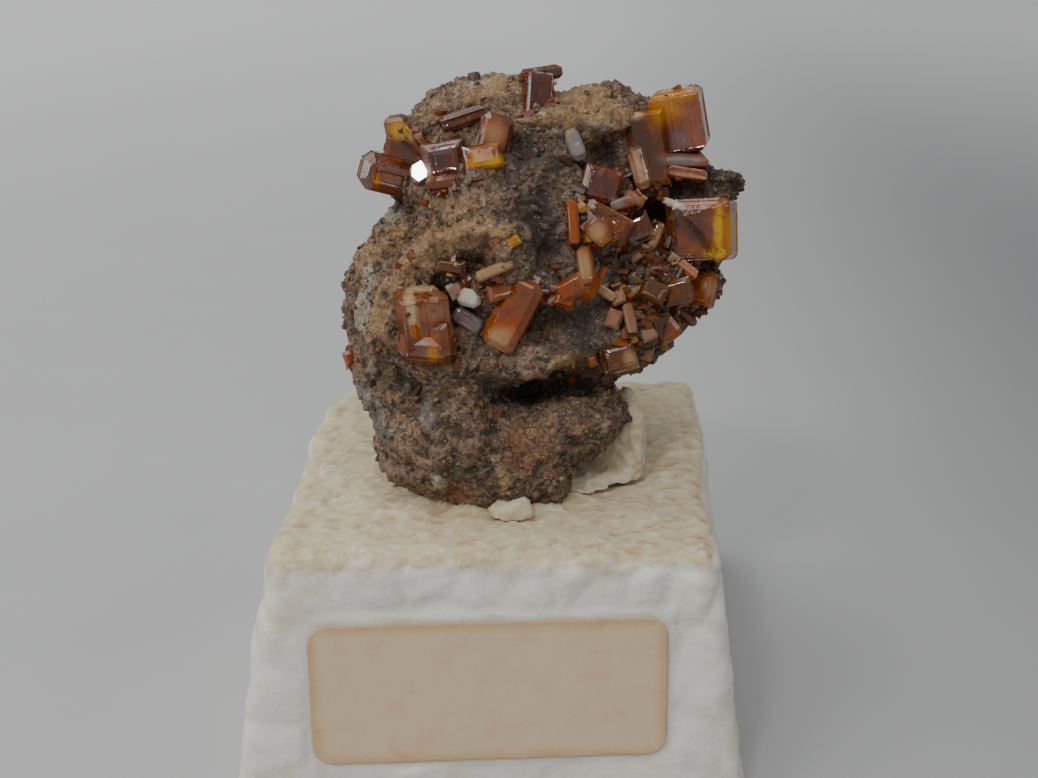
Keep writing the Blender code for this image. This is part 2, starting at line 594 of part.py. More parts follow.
def build():
    clear_scene()
    rock = rock_before_crystals()
    rock_tree = tree_of(rock)
    rock_swollen = inflated(rock, TOUCH_GAP)
    block = block_before_seat()
    block_swollen = inflated(block, TOUCH_GAP)
    for name, beads in (("glue_rim", GLUE_RIM_BEADS), ("glue_front", GLUE_FRONT_BEADS)):
        add_part(name, glue_mesh(beads, rock_swollen, block_swollen), GLUE)
    add_part("foam_block", largest_body(joined(block, rock_swollen, "DIFFERENCE")), FOAM)
    add_part("paper_label", label_mesh(), PAPER)
    matrix = rock
    for name, specs in CRYSTAL_NODES.items():
        matrix = joined(matrix, crystal_group(specs, rock_tree, TOUCH_GAP), "DIFFERENCE")
        add_part(name, crystal_group(specs, rock_tree, 0.0), WULFENITE)
    add_part("matrix", largest_body(matrix), MATRIX)


build()
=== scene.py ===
"""Wulfenite crystals on a lump of brown matrix, whose foot is glued into a hand-cut foam block.

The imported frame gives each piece's place and size. Each operator below dresses one piece or one
group of like pieces. Shapes are worked in millimetres and scaled to metres when an object is made.
"""

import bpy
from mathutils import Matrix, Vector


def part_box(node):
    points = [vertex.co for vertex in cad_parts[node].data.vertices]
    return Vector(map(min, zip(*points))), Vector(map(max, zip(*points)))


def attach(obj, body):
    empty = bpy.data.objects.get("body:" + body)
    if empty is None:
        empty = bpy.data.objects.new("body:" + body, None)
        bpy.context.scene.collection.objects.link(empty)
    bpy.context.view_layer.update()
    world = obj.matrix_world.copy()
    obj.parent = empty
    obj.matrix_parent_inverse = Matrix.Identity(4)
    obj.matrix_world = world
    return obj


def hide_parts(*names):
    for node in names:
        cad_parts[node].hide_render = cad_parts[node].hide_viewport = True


bl_info = {
    "name": "Wulfenite on matrix",
    "version": (1, 0, 0),
    "blender": (4, 5, 0),
    "location": "View3D > Sidebar > Specimen",
    "description": "Dresses a thumbnail mineral specimen on its foam block",
    "category": "Add Mesh",
}

import itertools
import math
import random
from collections import namedtuple

import bmesh
import bpy
import numpy as np
from mathutils import Matrix, Vector, noise
from mathutils.bvhtree import BVHTree

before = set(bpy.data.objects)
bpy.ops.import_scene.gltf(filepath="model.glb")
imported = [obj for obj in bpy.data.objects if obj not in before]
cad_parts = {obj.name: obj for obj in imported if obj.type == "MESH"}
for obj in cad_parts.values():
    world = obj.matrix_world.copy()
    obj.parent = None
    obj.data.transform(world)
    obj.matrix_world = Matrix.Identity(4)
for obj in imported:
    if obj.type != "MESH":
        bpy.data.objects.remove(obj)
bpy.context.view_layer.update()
MM = 0.001
BODY = "root"

# The eye that the specimen's face is described from: millimetres across and up on a picture plane
# at SIGHT_DISTANCE, then millimetres nearer to the eye than that plane
EYE = Vector((0.6, -73.7, 53.5))
SIGHT_PITCH = math.radians(23.7)
SIGHT_DISTANCE = 78.0
RIGHT = Vector((1.0, 0.0, 0.0))
FORWARD = Vector((0.0, math.cos(SIGHT_PITCH), -math.sin(SIGHT_PITCH)))
UP = Vector((0.0, math.sin(SIGHT_PITCH), math.cos(SIGHT_PITCH)))
# The camera's focal length and the width of its sensor, in millimetres
LENS, SENSOR = 44.32, 36.0

CRYSTAL_NODES = sorted(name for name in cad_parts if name.startswith("wulfenite"))

# A patch on the face: its middle across and up, its half sizes, its turn in degrees, its strength
Patch = namedtuple("Patch", "across up half_across half_up turn strength", defaults=(0.0, 1.0))


def patches(*rows):
    """The patches of rows of numbers, which may leave out the strength and the turn."""
    return [Patch(*row) for row in rows]


# Where the rock has each of its crusts and stains. The black patches are partly dark rock and partly
# painted shade in the hollows, such as under the top ledge
ROCK_STAINS_AND_SHADE = {
    "tan": patches(
        (-1.2, 9.4, 1.2, 0.7, -10, 0.8), (-3.4, 9.6, 2.2, 1.2, 14, 0.85), (-5.6, 8.6, 1.7, 1.1, 40),
        (-7.2, 6.7, 1.2, 0.7, 55), (-8.5, 4.6, 0.6, 1.9, -8, 0.9), (-4.0, 11.2, 2.2, 0.6, 4, 0.7),
        (-2.1, 18.4, 1.8, 0.9, 10), (-5.2, 17.0, 1.0, 0.7, 45, 0.8), (3.9, 17.8, 2.3, 0.9, -2, 0.9),
        (3.6, 16.5, 2.8, 0.45, 4), (4.8, 15.7, 1.2, 0.7, 12), (2.8, 1.8, 1.4, 0.35, 24),
        (-9.2, 8.6, 0.9, 1.4, -20, 0.7), (10.6, 14.1, 2.2, 0.4, -22, 0.8),
        (3.4, -0.9, 3.4, 0.4, 4, 0.5), (-7.6, 9.2, 1.2, 0.8, 40, 0.8),
        (-3.4, -0.2, 2.2, 0.5, -8, 0.5), (-6.9, -2.6, 0.8, 1.8, 10, 0.45),
        (2.2, -2.2, 2.2, 0.9, 0, 0.45), (5.2, 17.0, 1.8, 0.5, -10, 0.9),
        (4.6, 16.3, 2.0, 0.7, 2, 1.2), (-0.9, -5.4, 0.4, 1.3, 20, 0.7)),
    "black": patches(
        (2.3, 14.6, 1.4, 1.0), (5.4, 14.5, 1.4, 0.9, 30, 0.75), (12.2, 13.0, 2.0, 0.9, -26),
        (10.0, 12.5, 1.6, 0.6, -6), (9.6, 7.9, 1.4, 0.7, -18), (4.2, 3.7, 1.5, 1.6, 24),
        (1.8, -0.1, 3.8, 0.7, 6), (-2.9, 7.6, 1.0, 0.7, -10), (1.5, 6.5, 1.2, 1.5, 20, 0.8),
        (-7.6, 1.8, 0.9, 0.8, -40), (1.6, 10.4, 1.2, 3.0, -12, 0.6), (-7.6, 11.6, 0.8, 0.7, -20),
        (7.8, 10.2, 0.8, 1.6, 20, 0.8), (-4.6, 16.2, 0.5, 0.4), (7.6, 3.0, 2.6, 0.9, 42, 0.8),
        (-2.1, 3.2, 1.2, 1.2, 10, 0.7), (-5.75, -3.0, 0.25, 0.25, 0, 1.4),
        (-6.2, 15.1, 0.7, 0.6, 20, 0.8), (2.2, 15.9, 1.3, 0.35, 4, 0.7),
        (9.0, 5.4, 3.8, 2.6, 35, 1.1), (0.8, 13.4, 2.6, 2.4, 0, 0.9), (6.2, 6.6, 1.6, 0.8, 30, 0.8),
        (7.2, 13.4, 0.9, 1.6, 0, 0.8), (-3.4, 7.3, 1.6, 0.5, 20, 0.7),
        (-1.6, 15.4, 1.6, 0.6, 0, 0.5)),
    "rust": patches(
        (-2.0, -1.3, 1.0, 0.4, -10, 1.2), (0.6, -3.6, 2.2, 2.2, 0, 0.75),
        (-3.8, -6.2, 1.2, 0.6, -14), (-7.0, 7.9, 1.0, 0.8, 50, 0.7), (-1.9, 8.6, 0.6, 0.5, 0, 1.2),
        (-4.3, 10.2, 3.0, 1.0, 6, 0.5), (7.6, 8.0, 1.6, 1.4, 20, 0.6),
        (4.7, 0.4, 1.4, 0.5, 14, 0.8), (-10.2, 1.8, 0.5, 0.6, 0, 1.2),
        (5.6, 15.6, 0.9, 0.6, 20, 0.7), (1.2, 0.6, 2.0, 0.5, 4, 0.5)),
    "slate": patches(
        (-9.0, -1.3, 0.7, 2.3, 24), (-5.6, -1.7, 0.45, 1.4, 6, 0.9), (4.9, -4.6, 1.4, 0.9, 20, 0.8),
        (-6.6, 0.9, 2.4, 0.4, -24, 0.7), (4.2, 3.7, 1.9, 1.5, 24, 0.8),
        (2.6, 9.0, 1.2, 2.4, 0, 0.6), (-2.2, 6.9, 1.4, 0.6, 20, 0.6), (9.8, 2.8, 1.6, 0.8, 40, 0.7),
        (-8.6, 12.0, 0.5, 0.9, -40, 0.7)),
    "pale": patches(
        (-7.9, 11.0, 0.9, 0.8, 30, 1.2), (-9.5, 4.9, 0.45, 1.5, -6),
        (-9.1, 6.9, 0.4, 1.0, -20, 0.7), (-9.0, 1.2, 0.4, 0.8, 10, 0.8),
        (-4.9, -5.65, 0.6, 0.35, -30, 1.3), (-9.3, -0.6, 0.3, 0.7, 20, 0.7),
        # The first patch on the next line is a painted highlight along the top ledge
        (4.7, 16.1, 1.5, 0.3, 4, 0.75), (-2.6, 18.6, 1.2, 0.35, 8, 0.6)),
    "green": patches(
        (-3.1, -4.9, 1.1, 0.55, 6, 1.1), (-3.2, -5.0, 0.6, 0.4, 0, 1.2),
        (-9.5, 4.6, 0.4, 1.0, 0, 0.5)),
    "smooth": patches((4.2, 3.8, 1.7, 1.7, 24)),
}

# Ridges that stand up from the rock: the places they run through and their height
ROCK_RIDGES = [
    ([(-0.9, 9.6), (-3.0, 9.5), (-5.0, 8.9), (-6.6, 7.9), (-7.3, 6.4)], 0.35),
    ([(-7.6, 7.0), (-8.4, 5.6), (-8.9, 4.0), (-8.9, 2.6)], 0.3),
    ([(-8.2, 2.4), (-6.6, 1.3), (-4.9, 0.8), (-3.0, 1.0), (-0.9, 1.4)], 0.22),
    ([(1.4, 1.2), (2.6, 1.8), (3.8, 2.5)], 0.25),
    ([(0.6, 16.5), (2.6, 16.7), (4.4, 16.3), (6.0, 16.0)], 0.3),
    ([(-1.6, -1.3), (0.6, -0.9), (3.0, -0.6), (5.4, -0.5)], 0.2),
    ([(-1.4, -4.2), (-0.9, -5.6), (-0.6, -6.8)], 0.15),
]


def tone(red, green, blue):
    """A colour given as it looks on a screen, from 0 to 255, as the shader takes it."""
    return tuple((part / 255.0) ** 2.2 for part in (red, green, blue))


# On the crystals, the pale tones are partly painted reflections and highlights on the facets
TONES = {
    "amber": tone(164, 80, 4),
    "honey": tone(190, 124, 14),
    "yellow": tone(208, 160, 34),
    "orange": tone(160, 76, 14),
    "salmon": tone(138, 78, 42),
    "red brown": tone(122, 54, 8),
    "brown": tone(110, 62, 22),
    "dark brown": tone(62, 38, 18),
    "maroon": tone(100, 52, 30),
    "purple": tone(110, 58, 46),
    "tan": tone(162, 128, 94),
    "pink tan": tone(156, 116, 92),
    "lilac": tone(132, 118, 118),
    "grey": tone(128, 124, 118),
    "frost": tone(192, 168, 130),
    "white": tone(212, 206, 192),
}

# Each crystal's tone, by its node's name without "wulfenite_", and how clouded it is. The pale tones
# (white, grey, lilac, tan, pink tan) are partly frosting and partly painted reflections of the lamps
# and sky
CRYSTAL_TONES = {
    "amber_right": ("amber", 0.55), "blade_under_ledge": ("grey", 0.85),
    "brown_left": ("brown", 0.55), "brown_lower_pair": ("brown", 0.6),
    "brown_right_pair": ("red brown", 0.5), "centre_pair": ("orange", 0.6),
    "crevice_crystal": ("amber", 0.6), "dome_chip": ("honey", 0.7), "knob_blade": ("brown", 0.6),
    "knob_orange": ("amber", 0.6), "left_cluster": ("amber", 0.4), "left_edge": ("orange", 0.7),
    "lilac_plate": ("lilac", 0.8), "long_blade_group": ("orange", 0.6),
    "lower_left_cluster": ("salmon", 0.6), "lower_pair": ("tan", 0.8),
    "maroon_block_group": ("red brown", 0.6), "maroon_plate": ("maroon", 0.6),
    "orange_streak": ("amber", 0.6), "pink_pair": ("pink tan", 0.7), "right_block": ("amber", 0.5),
    "small_pink": ("pink tan", 0.8), "small_tan": ("tan", 0.8), "top_flake": ("red brown", 0.5),
    "underside_pair": ("brown", 0.6), "upper_blade": ("tan", 0.85),
    "upper_right_cluster": ("amber", 0.5), "white_facet_pair": ("white", 0.85),
}

# Zones of another tone on the crystals' faces, the later over the earlier. The pale zones are partly
# frosting and partly painted reflections; the white zone under the bright plate is a painted
# reflection, and the honey and frost zones along the amber block's top edge are painted highlights
CRYSTAL_ZONES = [(tone_name, Patch(*numbers)) for tone_name, *numbers in (
    ("honey", 8.8, 17.0, 1.1, 1.1), ("red brown", 10.0, 15.3, 1.5, 1.2, 0, 0.9),
    ("amber", 11.0, 15.9, 0.7, 1.8, 8), ("honey", 9.4, 18.0, 1.4, 0.5),
    ("frost", 10.6, 18.3, 0.5, 0.2, 0, 0.7), ("brown", 7.4, 15.0, 1.1, 2.2, 8),
    ("frost", 7.0, 16.7, 0.6, 0.3), ("pink tan", 7.2, 13.3, 0.5, 1.3, 14),
    ("grey", 10.0, 14.0, 1.5, 0.4, -3), ("pink tan", 10.2, 13.1, 1.0, 0.25, -8),
    ("purple", 10.7, 9.9, 0.9, 1.0), ("brown", 9.8, 10.6, 0.7, 0.9, 0, 0.9),
    ("orange", 10.4, 8.6, 1.2, 0.5, -10, 0.8), ("yellow", 12.2, 9.8, 0.35, 1.5),
    ("yellow", 12.0, 8.3, 0.7, 0.35, 10), ("honey", 13.1, 9.6, 0.8, 1.9),
    ("red brown", 12.9, 11.2, 0.4, 0.5, 0, 0.7), ("white", 9.3, 11.4, 0.7, 0.25, -20),
    ("red brown", -8.8, 13.2, 0.6, 0.9), ("honey", -8.7, 12.8, 0.25, 0.5),
    ("amber", -7.7, 13.4, 0.9, 0.9, 0, 0.9), ("yellow", -7.3, 15.8, 0.7, 0.6),
    ("frost", -6.3, 15.6, 0.35, 0.7, -50, 0.8), ("salmon", -5.8, 14.6, 0.3, 1.1, 35, 0.7),
    ("red brown", -4.4, 14.0, 1.1, 1.0, 0, 0.9), ("honey", -2.5, 13.8, 0.7, 0.9),
    ("yellow", -1.4, 13.9, 0.7, 0.4, 20, 0.9), ("tan", -1.5, 15.6, 0.7, 0.9, -10, 0.8),
    ("orange", -3.6, 12.4, 1.4, 0.5, 4, 0.8), ("white", -6.0, 13.2, 0.6, 0.6),
    ("orange", -3.0, 16.0, 1.0, 0.3, 16, 0.7), ("honey", 1.7, 16.2, 0.35, 1.0, -4, 0.9),
    ("maroon", 0.9, 18.0, 0.6, 1.0, -4, 0.8), ("brown", 1.6, 19.3, 1.0, 0.4, 9, 0.8),
    ("pink tan", -5.3, 4.8, 0.9, 0.8, 0, 0.7), ("frost", -6.6, 4.9, 0.35, 1.4, 8),
    ("frost", -5.9, 6.2, 0.9, 0.3, 0, 0.8), ("yellow", -6.3, 3.6, 0.3, 0.5, 0, 0.8),
    ("red brown", -6.5, 2.5, 0.8, 0.6, 10), ("honey", -5.2, 2.2, 0.4, 0.5),
    ("red brown", -4.6, 2.5, 0.5, 0.6, 0, 0.9), ("amber", -5.6, 3.2, 0.7, 0.3, 0, 0.9),
    ("salmon", 0.2, 5.2, 0.8, 1.3, -28, 0.9), ("tan", -1.2, 3.1, 0.9, 0.7, 20, 0.9),
    ("amber", -0.6, 5.6, 0.6, 0.9, -28, 0.8), ("brown", -1.1, 6.4, 0.8, 0.5, 0, 0.8),
    ("purple", 4.9, 12.5, 1.1, 1.0, -14), ("grey", 6.0, 11.4, 0.6, 0.35, 18),
    ("pink tan", 7.0, 11.7, 0.6, 0.3, -26), ("brown", 5.2, 10.7, 1.0, 0.5, -10, 0.9),
    ("tan", 4.7, 9.6, 0.6, 0.75, -40), ("honey", 5.4, 9.0, 0.5, 0.3, 20, 0.8),
    ("tan", 8.3, 9.2, 0.35, 0.8, -26), ("tan", 3.9, 7.6, 0.5, 1.2, 8),
    ("tan", 6.8, 1.7, 0.4, 0.7, 20), ("tan", 11.6, 6.2, 0.5, 0.6, 0, 0.8),
    ("pink tan", 6.7, 4.3, 0.25, 0.8, 12), ("pink tan", -3.9, 6.0, 0.5, 0.45),
)]

# Faces left clean, with no growth steps and no small crystals
MIRROR_FACES = patches((-6.0, 13.2, 0.9, 0.9))

# Where small crystals crowd between the large ones
DRUSES = patches(
    (8.0, 7.2, 3.6, 2.2, 10), (7.6, 4.2, 3.4, 1.5, 38), (5.0, 10.2, 2.8, 1.6, -20),
    (2.6, 6.2, 1.6, 1.6, 0, 0.8), (-2.6, 7.0, 2.2, 1.0, 10, 0.7), (-3.6, 12.4, 3.0, 0.8, 6, 0.4),
    (8.6, 13.2, 2.2, 1.4, 0, 0.8), (-4.4, 3.8, 1.0, 2.0, 0, 0.6), (4.6, 1.2, 2.6, 0.6, 10, 0.5),
    (11.0, 6.4, 1.4, 1.8, 0, 0.9))

# Where middling crystals fill the gaps between the large ones
COARSE_DRUSES = patches(
    (-4.6, 13.2, 2.6, 1.3, 6), (-7.6, 14.2, 1.1, 0.8, 30, 0.8), (8.6, 5.6, 3.0, 1.9, 30),
    (5.4, 9.8, 2.0, 1.6, -30), (8.8, 11.6, 1.2, 0.9), (-5.6, 3.8, 1.4, 2.0, 0, 0.8),
    (-1.7, 6.6, 0.9, 0.7, 10, 0.7), (3.6, 6.2, 1.6, 0.9, 20, 0.7))

# Where small crystals ride on the large ones
OVERGROWN = patches(
    (-6.0, 5.0, 1.2, 1.0), (-6.2, 3.2, 1.0, 1.2, 0, 0.6), (-4.0, 12.8, 1.6, 0.7, 0, 0.6),
    (-6.6, 14.8, 0.8, 0.8, 30, 0.6), (5.4, 10.6, 1.6, 1.2, 0, 0.5), (7.4, 12.6, 1.0, 1.2, 0, 0.5),
    (-6.8, 15.9, 0.8, 0.4, 0, 0.8), (9.6, 18.2, 1.4, 0.3, 0, 0.7))

# The scattered crystals: the narrowest and the widest in millimetres, and how common each tone is
CROWDS = {
    "small_crystals": (0.18, 0.8, {"brown": 9, "red brown": 5, "amber": 1, "dark brown": 9,
                                   "tan": 2, "maroon": 3, "honey": 1}),
    "middling_crystals": (0.5, 1.6, {"brown": 6, "red brown": 4, "amber": 1.5, "honey": 0.4,
                                     "dark brown": 5, "maroon": 2, "tan": 0.8}),
    # The riding crystals' frost tone partly paints glints on the large crystals
    "riding_crystals": (0.18, 0.6, {"brown": 4, "red brown": 3, "amber": 2, "tan": 2, "frost": 2}),
}
CROWD_CLOUD = 0.75
CROWD_SEED, CRUMB_SEED, CRYSTAL_SEED = 7, 11, 31
TRIES_FOR_EACH = 60
# The lowest heights that bear small crystals and loose grains, and the grains' sizes, in millimetres
LOWEST_CRYSTAL, LOWEST_CRUMB = 18.0, 17.0
CRUMB_SIZES = (0.09, 0.3)
# Zones of these tones are clouded more than their crystals
PALE_ZONES = ("frost", "white", "tan", "pink tan", "grey", "lilac")
GOLDEN_ZONES = ("yellow", "honey")
PALE_CLOUD, GOLDEN_CLOUD = 0.95, 0.75

# How deep the black patches are sunk, and how far the rock goes into the crystals, in millimetres
BLACK_DEPTH = 0.28
SEAT_DEPTH = 0.03
# Faces that meet at less than the flat angle are made one, and edges over the sharp angle are worn
FLAT_ANGLE = math.radians(1.0)
SHARP_ANGLE = math.radians(24.0)
SHADED_SHARP = FLAT_ANGLE * 4.0
# How often the longest edges of a crystal's mesh are cut in two
CUT_ROUNDS = 5
# How far the bright plate stands off its crystal and the glue runs in, in millimetres
PLATE_LIFT = 0.2
RUN_STEP = 0.6

WULFENITE_IOR = 2.3
# The specular levels of the large and of the small crystals
LARGE_SHINE, SMALL_SHINE = 0.11, 0.2

# The soft lights: where each stands and the side of its square, in metres
LIGHTS = {
    "window": ((-0.45, 0.25, 0.72), 0.8),
    "front": ((0.0, -0.45, 0.75), 0.5),
    "left": ((-0.62, -0.42, 0.42), 0.5),
    "right": ((0.56, -0.1, 0.6), 0.45),
}
# What they shine at, and how far the floor reaches, in metres
LIT_PLACE = Vector((0.0, 0.0, 0.026))
FLOOR_REACH = 12.0
SKY_COLOUR = (0.94, 0.97, 1.0, 1.0)
# The bright plate's own lamp, high on the left: its way and its distance, in millimetres
LAMP_WAY = Vector((-0.3, -0.6, 0.74)).normalized()
LAMP_DISTANCE = 450.0
# The side of its square, in metres
LAMP_SIDE = 0.05


def seen(across, up, near):
    """The place, in millimetres, of a point given as it is seen from the eye."""
    ray = FORWARD + RIGHT * (across / SIGHT_DISTANCE) + UP * (up / SIGHT_DISTANCE)
    return EYE + ray * (SIGHT_DISTANCE - near)


def as_seen(places):
    """Across, up and near of places in millimetres, each as an array."""
    away = places - np.array(EYE)
    depth = away @ np.array(FORWARD)
    across = away @ np.array(RIGHT) / depth * SIGHT_DISTANCE
    up = away @ np.array(UP) / depth * SIGHT_DISTANCE
    return across, up, SIGHT_DISTANCE - depth


def covered(spot, across, up):
    """How strongly a patch covers each place: its strength inside, a half at its rim."""
    turn = math.radians(spot.turn)
    sideways, upwards = across - spot.across, up - spot.up
    along = (sideways * math.cos(turn) + upwards * math.sin(turn)) / spot.half_across
    beside = (upwards * math.cos(turn) - sideways * math.sin(turn)) / spot.half_up
    return spot.strength * np.clip(1.5 - np.hypot(along, beside), 0.0, 1.0)


def covered_by_any(spots, across, up):
    """The strongest cover that any of the patches gives each place."""
    cover = np.zeros(len(across))
    for spot in spots:
        cover = np.maximum(cover, covered(spot, across, up))
    return cover


def covered_at(spots, across, up):
    """How strongly any of the patches covers one place."""
    return covered_by_any(spots, np.array([across]), np.array([up]))[0]


def facing_eye(near):
    """1 for what the eye sees, falling to 0 behind the rock's middle."""
    return np.clip((near + 3.5) / 2.0, 0.0, 1.0)


def off_line(line, across, up):
    """How far each place is from a line of places, in millimetres as seen."""
    nearest = np.full(len(across), np.inf)
    for (x0, y0), (x1, y1) in zip(line, line[1:]):
        run_x, run_y = x1 - x0, y1 - y0
        share = ((across - x0) * run_x + (up - y0) * run_y) / (run_x ** 2 + run_y ** 2)
        share = np.clip(share, 0.0, 1.0)
        off = np.hypot(across - x0 - share * run_x, up - y0 - share * run_y)
        nearest = np.minimum(nearest, off)
    return nearest


def places_of(mesh):
    flat = np.empty(len(mesh.vertices) * 3)
    mesh.vertices.foreach_get("co", flat)
    return flat.reshape(-1, 3)


def normals_of(mesh):
    flat = np.empty(len(mesh.vertices) * 3)
    mesh.vertices.foreach_get("normal", flat)
    return flat.reshape(-1, 3)


def set_places(mesh, places):
    mesh.vertices.foreach_set("co", places.ravel())
    mesh.update()


def raise_points(mesh, relief):
    """Moves each point along its normal by its own number of millimetres."""
    set_places(mesh, places_of(mesh) + normals_of(mesh) * relief[:, None])


def set_values(mesh, name, values, holder="POINT"):
    """Writes one number for each point or corner, which a material reads by its name."""
    layer = mesh.attributes.new(name, "FLOAT", holder)
    layer.data.foreach_set("value", np.asarray(values, np.float32))


def set_colours(mesh, name, colours):
    """Writes one colour for each point, which a material reads by its name."""
    layer = mesh.attributes.new(name, "FLOAT_COLOR", "POINT")
    solid = np.ones((len(colours), 4), np.float32)
    solid[:, :3] = colours
    layer.data.foreach_set("color", solid.ravel())


def field(places, per_mm, kind, shift=0.0):
    """A noise's value at each place. kind takes the place, already scaled."""
    scaled = (places + shift) * per_mm
    return np.array([kind(Vector(place)) for place in scaled])


def lumps(place):
    return noise.fractal(place, 0.9, 2.1, 4)


def ridges(place):
    return noise.ridged_multi_fractal(place, 0.9, 2.1, 3, 1.0, 2.0) - 1.1


def cells(place):
    """Rises from 0 at the seams between rounded cells to about 1 in their middles."""
    distances = noise.voronoi(place)[0]
    return distances[1] - distances[0]


def object_of(name, data):
    obj = bpy.data.objects.new(name, data)
    bpy.context.scene.collection.objects.link(obj)
    return obj


def baked(obj):
    """The mesh that an object's modifiers make. The object is removed."""
    bpy.context.view_layer.update()
    graph = bpy.context.evaluated_depsgraph_get()
    mesh = bpy.data.meshes.new_from_object(obj.evaluated_get(graph))
    bpy.data.objects.remove(obj)
    return mesh


def mesh_of(name, bm):
    """The mesh of a bmesh, which is freed."""
    mesh = bpy.data.meshes.new(name)
    bm.to_mesh(mesh)
    bm.free()
    return mesh


def node_mesh(name):
    """A copy of a frame node's mesh, in millimetres."""
    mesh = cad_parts[name].data.copy()
    mesh.materials.clear()
    mesh.transform(Matrix.Scale(1.0 / MM, 4))
    bm = bmesh.new()
    bm.from_mesh(mesh)
    bmesh.ops.remove_doubles(bm, verts=bm.verts, dist=1e-4)
    bm.to_mesh(mesh)
    bm.free()
    return mesh


def remeshed(mesh, cell, smoothing=0):
    """The mesh made again of even cells, of the given side in millimetres."""
    obj = object_of("work", mesh)
    remesh = obj.modifiers.new("cells", "REMESH")
    remesh.mode = "VOXEL"
    remesh.voxel_size = cell
    if smoothing:
        smooth = obj.modifiers.new("smooth", "SMOOTH")
        smooth.iterations = smoothing
    return baked(obj)


def middle_of(mesh):
    return sum((vert.co for vert in mesh.vertices), Vector()) / len(mesh.vertices)


def tree_of(*meshes):
    """The meshes' faces, made ready for finding the nearest."""
    points, faces = [], []
    for mesh in meshes:
        first = len(points)
        points += [vert.co for vert in mesh.vertices]
        faces += [[first + corner for corner in face.vertices] for face in mesh.polygons]
    return BVHTree.FromPolygons(points, faces)


def crystal_tree():
    return tree_of(*[node_mesh(name) for name in CRYSTAL_NODES])


def foam_level():
    """The height of the foam block's top, in millimetres."""
    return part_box("foam_block")[1].z / MM


def shown(name, mesh, material, slot, *replaced):
    """Makes a piece of the object from a mesh in millimetres."""
    mesh.transform(Matrix.Scale(MM, 4))
    mesh.materials.clear()
    mesh.materials.append(material)
    mesh.shade_smooth()
    piece = object_of(name, mesh)
    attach(piece, BODY)
    if replaced:
        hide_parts(*replaced)
    return piece


class Value:
    """An output of a material's node, which Python's operators reckon with."""

    def __init__(self, paint, socket):
        self.paint = paint
        self.socket = socket

    def __add__(self, other):
        return self.paint.maths("ADD", self, other)

    def __radd__(self, other):
        return self.paint.maths("ADD", other, self)

    def __sub__(self, other):
        return self.paint.maths("SUBTRACT", self, other)

    def __rsub__(self, other):
        return self.paint.maths("SUBTRACT", other, self)

    def __mul__(self, other):
        return self.paint.maths("MULTIPLY", self, other)

    def __rmul__(self, other):
        return self.paint.maths("MULTIPLY", other, self)


class Paint:
    """A material under construction."""

    def __init__(self, name):
        self.material = bpy.data.materials.new(name)
        self.material.use_nodes = True
        self.tree = self.material.node_tree
        self.tree.nodes.clear()
        place = self.node("ShaderNodeTexCoord", output="Object")
        self.place = self.node("ShaderNodeVectorMath", {"operation": "SCALE"},
                               {"Vector": place, "Scale": 1.0 / MM})

    def node(self, kind, settings=None, sockets=None, output=0):
        """Adds a node: its settings first, then the values or links of its sockets."""
        made = self.tree.nodes.new(kind)
        for name, setting in (settings or {}).items():
            if name == "stops":
                self.set_stops(made.color_ramp, setting)
            else:
                setattr(made, name, setting)
        for name, given in (sockets or {}).items():
            socket = made.inputs[name]
            if isinstance(given, Value):
                self.tree.links.new(given.socket, socket)
            elif socket.type == "RGBA" and len(given) == 3:
                socket.default_value = (*given, 1.0)
            else:
                socket.default_value = given
        return Value(self, made.outputs[output]) if len(made.outputs) else None

    def set_stops(self, ramp, stops):
        while len(ramp.elements) < len(stops):
            ramp.elements.new(1.0)
        for element, (place, colour) in zip(ramp.elements, stops):
            element.position = place
            element.color = (*colour, 1.0)

    def maths(self, operation, first, second):
        return self.node("ShaderNodeMath", {"operation": operation}, {0: first, 1: second})

    def mix(self, factor, first, second):
        """The first colour turning to the second as the factor goes from 0 to 1."""
        return self.node("ShaderNodeMix", {"data_type": "RGBA"}, {0: factor, 6: first, 7: second},
                         output=2)

    def rising(self, value, low, high):
        """0 below low, 1 above high, and smooth between them."""
        return self.node("ShaderNodeMapRange", {"interpolation_type": "SMOOTHSTEP"},
                         {"Value": value, "From Min": low, "From Max": high})

    def noise(self, per_mm, detail=4.0, roughness=0.55, place=None):
        return self.node("ShaderNodeTexNoise", None,
                         {"Vector": place or self.place, "Scale": per_mm, "Detail": detail,
                          "Roughness": roughness})

    def grains(self, per_mm, feature="F1", output="Distance"):
        return self.node("ShaderNodeTexVoronoi", {"feature": feature},
                         {"Vector": self.place, "Scale": per_mm}, output)

    def stretched(self, across, along, up):
        """The place with its axes scaled, for marks that run one way."""
        return self.node("ShaderNodeVectorMath", {"operation": "MULTIPLY"},
                         {0: self.place, 1: (across, along, up)})

    def value_of(self, layer):
        return self.node("ShaderNodeAttribute", {"attribute_name": layer}, output="Fac")

    def colour_of(self, layer):
        return self.node("ShaderNodeAttribute", {"attribute_name": layer}, output="Color")

    def bump(self, height, depth_mm, strength):
        return self.node("ShaderNodeBump", None,
                         {"Height": height, "Distance": depth_mm * MM, "Strength": strength})

    def surface(self, sockets):
        return self.node("ShaderNodeBsdfPrincipled", None, sockets)

    def finish(self, surface, volume=None):
        sockets = {"Surface": surface}
        if volume:
            sockets["Volume"] = volume
        self.node("ShaderNodeOutputMaterial", None, sockets)
        return self.material


def length(name, description, millimetres):
    return bpy.props.FloatProperty(name=name, description=description, default=millimetres * MM,
                                   unit="LENGTH", precision=5)


def colour(name, description, value):
    return bpy.props.FloatVectorProperty(name=name, description=description, default=value,
                                         size=3, subtype="COLOR", min=0.0, max=1.0)


def amount(name, description, value):
    return bpy.props.FloatProperty(name=name, description=description, default=value,
                                   subtype="FACTOR", min=0.0, max=1.0)


def power(name, description, watts):
    return bpy.props.FloatProperty(name=name, description=description, default=watts, min=0.0,
                                   unit="POWER")


def count(name, description, value):
    return bpy.props.IntProperty(name=name, description=description, default=value, min=0)


